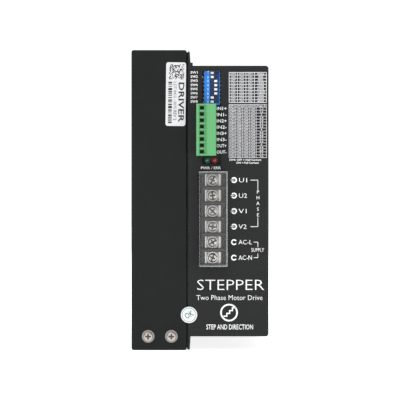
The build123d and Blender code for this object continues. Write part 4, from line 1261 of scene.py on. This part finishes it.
@dataclass
class Label:
    """A stuck-on sheet with rounded corners, a softened edge and printing on it."""

    name: str
    wardrobe: Wardrobe
    plane: Matrix
    paper: Finish
    size: Span
    centre: Span = (0.0, 0.0)
    turn: float = 0.0
    body: str = UNIT
    corner_radius: float = 1.4
    edge_share: float = 0.3
    thickness: float = 0.12
    sunk: float = 0.02
    ink_thickness: float = 0.03

    def placing(self) -> Matrix:
        """Where the label's own middle stands on the flat sheet, and how it is turned."""
        return Matrix.Translation((*self.centre, 0.0)) @ Matrix.Rotation(math.radians(self.turn), 4, "Z")

    def stick(self) -> None:
        """Cuts the label, softens its edge and sticks it on its plane."""
        item = bevelled(self.cut(), self.thickness * self.edge_share, angle=60)
        settle(item, self.plane @ Matrix.Translation((0, 0, self.thickness / 2 - self.sunk)) @ self.placing())
        face_outwards(item)
        take(item)
        bpy.ops.object.shade_smooth_by_angle(angle=math.radians(50))
        finish_and_fix(item, self.wardrobe.plain(self.paper), self.body)

    def ink(self, name: str, finish: Finish) -> PrintedSheet:
        """Opens a sheet of printing, in millimetres from the label's middle and thin enough for a label."""
        return PrintedSheet(name, finish, thickness=self.ink_thickness, sunk=self.ink_thickness / 3)

    def add(self, printing: PrintedSheet) -> None:
        """Lays a sheet of printing on the label."""
        raised = self.plane @ Matrix.Translation((0, 0, self.thickness - self.sunk))
        printing.lay(self.wardrobe, raised, self.body, self.placing())

    def cut(self) -> bpy.types.Object:
        """Cuts the sheet with rounded corners, flat and centred, and returns it."""
        clear_selection()
        bpy.ops.mesh.primitive_cube_add(size=1.0, scale=(*self.size, self.thickness))
        item = settle(bpy.context.object)
        item.name = self.name
        take(item)
        bpy.ops.object.mode_set(mode="EDIT")
        bpy.ops.mesh.select_mode(type="EDGE")
        bpy.ops.mesh.select_all(action="DESELECT")
        shape = bmesh.from_edit_mesh(item.data)
        for edge in shape.edges:
            first, second = (vertex.co for vertex in edge.verts)
            edge.select_set(abs(first.z - second.z) > self.thickness / 2)
        bmesh.update_edit_mesh(item.data)
        bpy.ops.mesh.bevel(offset=self.corner_radius, segments=10, affect="EDGES")
        bpy.ops.object.mode_set(mode="OBJECT")
        return item


@dataclass
class RoundLabel(Label):
    """A round label, as wide as its size says."""

    def cut(self) -> bpy.types.Object:
        """Cuts the round sheet, flat and centred, and returns it."""
        clear_selection()
        bpy.ops.mesh.primitive_cylinder_add(vertices=72, radius=self.size[0] / 2, depth=self.thickness)
        item = settle(bpy.context.object)
        item.name = self.name
        return item


@dataclass
class Labels:
    """The long coded label and the round sticker on the front, and the label on the fan's hub."""

    corner: Corner
    wardrobe: Wardrobe
    seed: int = 41
    code_cells: int = 17
    code_size: float = 9.2
    code_corner: Span = (-4.2, 9.1)
    code_share: float = 0.52
    cell_fill: float = 0.96
    stripes_left: Span = (-4.6, -2.3)
    stripes_height: Span = (-17.6, 7.6)
    stripe_widths: tuple[float, ...] = (0.45, 0.6, 0.9, 1.5)
    stripe_gaps: tuple[float, ...] = (0.3, 0.45, 0.8)
    kind_line: Line = Line("DRIVER", 1.75, 7.6, 3.3, 24.4, 0.03)
    lot_lines: tuple[Line, ...] = (
        Line("LOT 0412 - 0075", -1.3, 7.7, 1.7, 16.5, 0.012),
        Line("REV 2", -1.3, -9.7, 1.8, 6.2, 0.03),
    )
    sticker_line: Line = Line("OK", 0.0, -1.6, 3.4, 5.4, 0.02, Align.CENTRE)
    hub_lines: tuple[Line, ...] = (
        Line("DC 24V", 0.0, 2.2, 2.6, 11.5, 0.02, Align.CENTRE),
        Line("0.12 A", 0.0, -2.2, 2.2, 8.4, 0.02, Align.CENTRE),
    )

    def code(self, sheet: PrintedSheet, dice: random.Random) -> None:
        """Prints the square code, each run of dark cells in a row as one bar.

        Args:
            sheet: Where it is printed.
            dice: Chooses the dark cells.
        """
        cell = self.code_size / self.code_cells
        left, foot = self.code_corner
        for row in range(self.code_cells):
            start = None
            for column in range(self.code_cells + 1):
                dark = column < self.code_cells and dice.random() < self.code_share
                if dark and start is None:
                    start = column
                elif not dark and start is not None:
                    sheet.bar((left + start * cell, left + column * cell),
                              (foot + row * cell, foot + (row + self.cell_fill) * cell))
                    start = None

    def stripes(self, sheet: PrintedSheet, dice: random.Random) -> None:
        """Prints the column of stripes below the code, from its top down.

        Args:
            sheet: Where it is printed.
            dice: Chooses each stripe and gap.
        """
        lowest, height = self.stripes_height
        while height > lowest:
            stripe = dice.choice(self.stripe_widths)
            sheet.bar(self.stripes_left, (height - stripe, height))
            height -= stripe + dice.choice(self.stripe_gaps)

    def coded_label(self) -> None:
        """Sticks on the white label, whose lettering reads from top to bottom."""
        label = Label("duct_label", self.wardrobe, self.corner.front_sheet(), PAPER, (12.2, 39.0), (27.2, 156.9),
                      turn=-0.7)
        label.stick()
        dice = random.Random(self.seed)
        black = label.ink("print_duct_label", INK_BLACK)
        self.code(black, dice)
        self.stripes(black, dice)
        self.kind_line.onto(black, quarter_turns=-1)
        label.add(black)
        grey = label.ink("print_duct_label_grey", INK_GREY)
        for line in self.lot_lines:
            line.onto(grey, quarter_turns=-1)
        label.add(grey)

    def inspection_sticker(self) -> None:
        """Sticks on the round silvery sticker across the seam, at the foot of the front."""
        label = RoundLabel("inspection_sticker", self.wardrobe, self.corner.front_sheet(), STICKER, (10.0, 10.0),
                           (35.3, 21.7), turn=28.0)
        label.stick()
        ink = label.ink("print_inspection_sticker", STICKER_INK)
        ink.ring((0.0, 0.0), 4.3, 0.28, facets=48)
        self.sticker_line.onto(ink)
        label.add(ink)

    def fan_label(self) -> None:
        """Sticks on the round label on the fan's hub, which turns with the rotor."""
        low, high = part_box("fan_rotor")
        middle = Vector((low.x, (low.y + high.y) / 2, (low.z + high.z) / 2))
        towards_left = Matrix.Rotation(-math.pi / 2, 4, "Z") @ Matrix.Rotation(math.pi / 2, 4, "X")
        plane = Matrix.Translation(middle) @ towards_left @ Matrix.Scale(MM, 4)
        label = RoundLabel("fan_hub_label", self.wardrobe, plane, STICKER, (20.0, 20.0), body=ROTOR)
        label.stick()
        ink = label.ink("print_fan_hub_label", INK_BLACK)
        ink.ring((0.0, 0.0), 9.2, 0.4, facets=64)
        for line in self.hub_lines:
            line.onto(ink)
        ink.bar((-5.5, 5.5), (0.9, 1.2))
        label.add(ink)

    def dress(self) -> None:
        """Makes every label."""
        self.coded_label()
        self.inspection_sticker()
        self.fan_label()


@dataclass
class SwitchPrinting:
    """White lettering moulded on the blue switch bank."""

    corner: Corner
    wardrobe: Wardrobe
    number_left: float = 2.3
    number_cap: float = 1.2
    on_left: float = 1.0
    on_below_top: float = 1.35
    on_cap: float = 1.05
    on_width: float = 1.9
    weight: float = 0.02

    def dress(self) -> None:
        """Prints the ways' numbers and the word ON."""
        low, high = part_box("dip_body")
        left = (low.x - self.corner.left) / MM
        sheet = PrintedSheet("print_switch_bank", SLIDER_WHITE, thickness=0.04)
        for way in range(1, 9):
            height = self.corner.middle_of(f"dip_slider_{way}") - self.number_cap / 2
            sheet.words(str(way), left + self.number_left, height, self.number_cap, Align.CENTRE,
                        weight=self.weight)
        sheet.words("ON", left + self.on_left, self.corner.height_of(high.z) - self.on_below_top, self.on_cap,
                    width=self.on_width, weight=self.weight)
        sheet.lay(self.wardrobe, self.corner.front_sheet((low.y - self.corner.front) / MM))


# ------------------------------------------------------------------ small parts on the boards


@dataclass
class BoardParts:
    """Chips and small resistors soldered to the front faces of the boards.

    A chip's size and a resistor's size are across, out of the board and up. Places on the front board are
    right of its middle line and above the unit's middle, and those on the power board are behind its front
    edge and above the unit's middle.
    """

    wardrobe: Wardrobe
    seed: int = 12
    sunk: float = 0.01
    chip_size: tuple[float, float, float] = (5.0, 1.5, 4.0)
    chip_edge: float = 0.18
    lead_pitch: float = 1.0
    leads_a_side: int = 4
    lead_half: float = 0.2
    lead_reach: float = 0.7
    lead_foot: float = 0.35
    lead_depths: Span = (0.6, 0.45)
    resistor_size: tuple[float, float, float] = (1.6, 0.5, 0.8)
    resistor_edge: float = 0.06
    resistor_body: Span = (0.2, 0.8)
    resistor_ends: tuple[Span, ...] = ((0.0, 0.21), (0.79, 1.0))
    front_column: float = 12.0
    front_chips: tuple[Span, ...] = ((0.0, 60.0), (0.0, 46.0), (4.0, 10.0), (0.0, -12.0))
    power_chips: tuple[Span, ...] = (
        (14.0, 20.0), (14.0, 5.0), (14.0, -10.0), (14.0, -24.0), (80.0, 62.0), (92.0, 62.0))
    scatter: Span = (-4.0, 7.0)
    scattered: tuple[float, float, int] = (70.0, 6.1, 20)
    edge_row: tuple[float, float, int] = (60.0, 9.0, 12)
    edge_inset: float = 1.4

    def chip(self, name: str) -> bpy.types.Object:
        """One moulded chip, its face to the front, with softened edges."""
        width, depth, height = (length * MM for length in self.chip_size)
        item = slab(Vector((-width / 2, -depth, -height / 2)), Vector((width / 2, 0.0, height / 2)), name)
        return bevelled(item, self.chip_edge * MM)

    def leads(self, name: str) -> bpy.types.Object:
        """Bends one lead of a chip and repeats it in two rows.

        Args:
            name: Name of the gathered leads.

        Returns:
            One chip's leads.
        """
        width, depth, _height = (length * MM for length in self.chip_size)
        half = self.lead_half * MM
        outer, inner = (-share * depth for share in self.lead_depths)
        lead = slab(Vector((0.0, outer, -half)), Vector((self.lead_reach * MM, inner, half)), name + "_lead")
        take(lead)
        bpy.ops.object.mode_set(mode="EDIT")
        bpy.ops.mesh.select_mode(type="FACE")
        shape = bmesh.from_edit_mesh(lead.data)
        for face in shape.faces:
            face.select_set(face.normal.x > 0.9)
        bmesh.update_edit_mesh(lead.data)
        bpy.ops.mesh.extrude_region_move(TRANSFORM_OT_translate={"value": (self.lead_foot * MM, -inner, 0.0)})
        bpy.ops.object.mode_set(mode="OBJECT")
        mirror = Matrix.Scale(-1, 4, (1.0, 0.0, 0.0))
        places = []
        for height in reversed(spread(self.leads_a_side, self.lead_pitch * MM, 0.0)):
            places.append(Matrix.Translation((width / 2, 0.0, height)))
            places.append(Matrix.Translation((-width / 2, 0.0, height)) @ mirror)
        return copies(lead, places, name)

    def resistor(self, name: str, share: Span) -> bpy.types.Object:
        """Makes the dark body of a small resistor, or one of its bright ends.

        Args:
            name: Its name.
            share: Where it starts and ends, as shares of the resistor's length.

        Returns:
            The block, with softened edges.
        """
        length, depth, height = (size * MM for size in self.resistor_size)
        start, end = (-length / 2 + part * length for part in share)
        item = slab(Vector((start, -depth, -height / 2)), Vector((end, 0.0, height / 2)), name)
        return bevelled(item, self.resistor_edge * MM)

    def small_places(self) -> list[Matrix]:
        """Places of the resistors: scattered beside the connectors, and in a row down the board's edge."""
        low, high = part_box("front_board")
        dice = random.Random(self.seed)
        column = (low.x + high.x) / 2 + self.front_column * MM
        face = low.y + self.sunk * MM
        top, pitch, count = self.scattered
        spots = [(column + dice.uniform(*self.scatter) * MM, top - pitch * row) for row in range(count)]
        top, pitch, count = self.edge_row
        spots += [(low.x + self.edge_inset * MM, top - pitch * row) for row in range(count)]
        return [Matrix.Translation((across, face, height * MM)) for across, height in spots]

    def chip_places(self) -> list[Matrix]:
        """Places of the chips, on the front board and then on the power board."""
        low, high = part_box("front_board")
        column = (low.x + high.x) / 2 + self.front_column * MM
        face = low.y + self.sunk * MM
        places = [Matrix.Translation((column + right * MM, face, height * MM))
                  for right, height in self.front_chips]
        low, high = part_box("power_board")
        turned = Matrix.Translation((high.x - self.sunk * MM, 0.0, 0.0)) @ Matrix.Rotation(math.pi / 2, 4, "Z")
        return places + [turned @ Matrix.Translation((low.y + depth * MM, 0.0, height * MM))
                         for depth, height in self.power_chips]

    def dress(self) -> None:
        """Solders the parts to the front board, round its connectors, and to the power board."""
        chips, small = self.chip_places(), self.small_places()
        dark, bright = self.wardrobe.plain(CHIP), self.wardrobe.plain(TIN)
        finish_and_fix(copies(self.chip("board_chip"), chips, "board_chips"), dark, UNIT)
        finish_and_fix(copies(self.leads("board_chip_lead"), chips, "board_chip_leads"), bright, UNIT)
        body = copies(self.resistor("board_resistor", self.resistor_body), small, "board_resistors")
        finish_and_fix(body, dark, UNIT)
        ends = [copies(self.resistor("board_resistor_end", share), small, "resistor_ends")
                for share in self.resistor_ends]
        finish_and_fix(join(ends, "board_resistor_ends"), bright, UNIT)


# ------------------------------------------------------------------ floor, lights and camera


@dataclass(frozen=True)
class SoftBox:
    """One soft rectangular light: where it hangs and its size, in metres, and its power in watts."""

    name: str
    place: tuple[float, float, float]
    size: Span
    power: float

    def hang(self, aim: Vector) -> None:
        """Hangs the light.

        Args:
            aim: The point that it faces.
        """
        clear_selection()
        bpy.ops.object.light_add(type="AREA", location=self.place)
        lamp = bpy.context.object
        lamp.name = self.name
        lamp.data.shape = "RECTANGLE"
        lamp.data.size, lamp.data.size_y = self.size
        lamp.data.energy = self.power
        lamp.rotation_euler = (aim - Vector(self.place)).to_track_quat("-Z", "Y").to_euler()


@dataclass
class Studio:
    """A plain pale floor, soft lights and a camera square to the front."""

    corner: Corner
    view_centre: Span = (42.02, 92.06)
    distance: float = 900.0
    field_width: float = 245.0
    sensor: float = 36.0
    floor_size: float = 8.0
    floor_gap: float = 0.0002
    floor_glow: float = 0.85
    seen_white: float = 1.05
    mirrored_white: float = 0.3
    aim: tuple[float, float, float] = (0.02, -0.06, 0.0)
    lights: tuple[SoftBox, ...] = (
        SoftBox("key_softbox", (-0.55, -1.15, 0.95), (0.9, 0.9), 8.5),
        SoftBox("fill_softbox", (0.85, -1.1, 0.1), (0.8, 1.2), 5.0),
        SoftBox("top_softbox", (0.0, -0.05, 1.3), (1.6, 1.4), 12.0),
        SoftBox("back_softbox", (0.1, 1.2, 0.8), (1.2, 0.8), 6.0),
    )

    def floor(self) -> None:
        """Lays the floor under the unit, as one wide sheet."""
        clear_selection()
        level = self.corner.bottom - self.floor_gap
        bpy.ops.mesh.primitive_plane_add(size=self.floor_size, location=(0.0, 0.0, level))
        item = settle(bpy.context.object)
        item.name = "studio_floor"
        made = bpy.data.materials.new("studio_floor")
        made.use_nodes = True
        shader = made.node_tree.nodes["Principled BSDF"]
        shader.inputs["Base Color"].default_value = (0.93, 0.93, 0.93, 1.0)
        shader.inputs["Roughness"].default_value = 0.9
        shader.inputs["Specular IOR Level"].default_value = 0.1
        shader.inputs["Emission Color"].default_value = (1.0, 1.0, 1.0, 1.0)
        shader.inputs["Emission Strength"].default_value = self.floor_glow
        item.data.materials.append(made)

    def surroundings(self) -> None:
        """White behind the unit, and a softer grey for what the surfaces mirror."""
        world = bpy.data.worlds.new("studio")
        bpy.context.scene.world = world
        world.use_nodes = True
        tree = world.node_tree
        tree.nodes.clear()
        choice = tree.nodes.new("ShaderNodeMixShader")
        tree.links.new(tree.nodes.new("ShaderNodeLightPath").outputs["Is Camera Ray"], choice.inputs[0])
        for strength, way in ((self.mirrored_white, choice.inputs[1]), (self.seen_white, choice.inputs[2])):
            white = tree.nodes.new("ShaderNodeBackground")
            white.inputs["Color"].default_value = (1.0, 1.0, 1.0, 1.0)
            white.inputs["Strength"].default_value = strength
            tree.links.new(white.outputs[0], way)
        tree.links.new(choice.outputs[0], tree.nodes.new("ShaderNodeOutputWorld").inputs[0])

    def camera(self) -> None:
        """Stands the camera square to the front panel."""
        clear_selection()
        place = self.corner.spot(self.view_centre[0], -self.distance, self.view_centre[1])
        bpy.ops.object.camera_add(location=place, rotation=(math.pi / 2, 0.0, 0.0))
        camera = bpy.context.object
        camera.name = "front_camera"
        camera.data.sensor_width = self.sensor
        camera.data.lens = self.sensor * self.distance / self.field_width
        camera.data.clip_start = 0.01
        camera.data.clip_end = 50.0
        bpy.context.scene.camera = camera
        bpy.context.scene.view_settings.view_transform = "Standard"

    def build(self) -> None:
        """Sets up the whole studio."""
        self.floor()
        for light in self.lights:
            light.hang(Vector(self.aim))
        self.surroundings()
        self.camera()


def main() -> None:
    """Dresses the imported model, adds its printing and labels, and sets up the studio."""
    logging.basicConfig(level=logging.INFO, format="%(message)s")
    corner = Corner.of_frame()
    wardrobe = Wardrobe()
    wardrobe.dress_nodes()
    FrontPanel(corner, wardrobe).dress()
    SwitchPrinting(corner, wardrobe).dress()
    Labels(corner, wardrobe).dress()
    BoardParts(wardrobe).dress()
    Studio(corner).build()


if __name__ == "__main__":
    main()
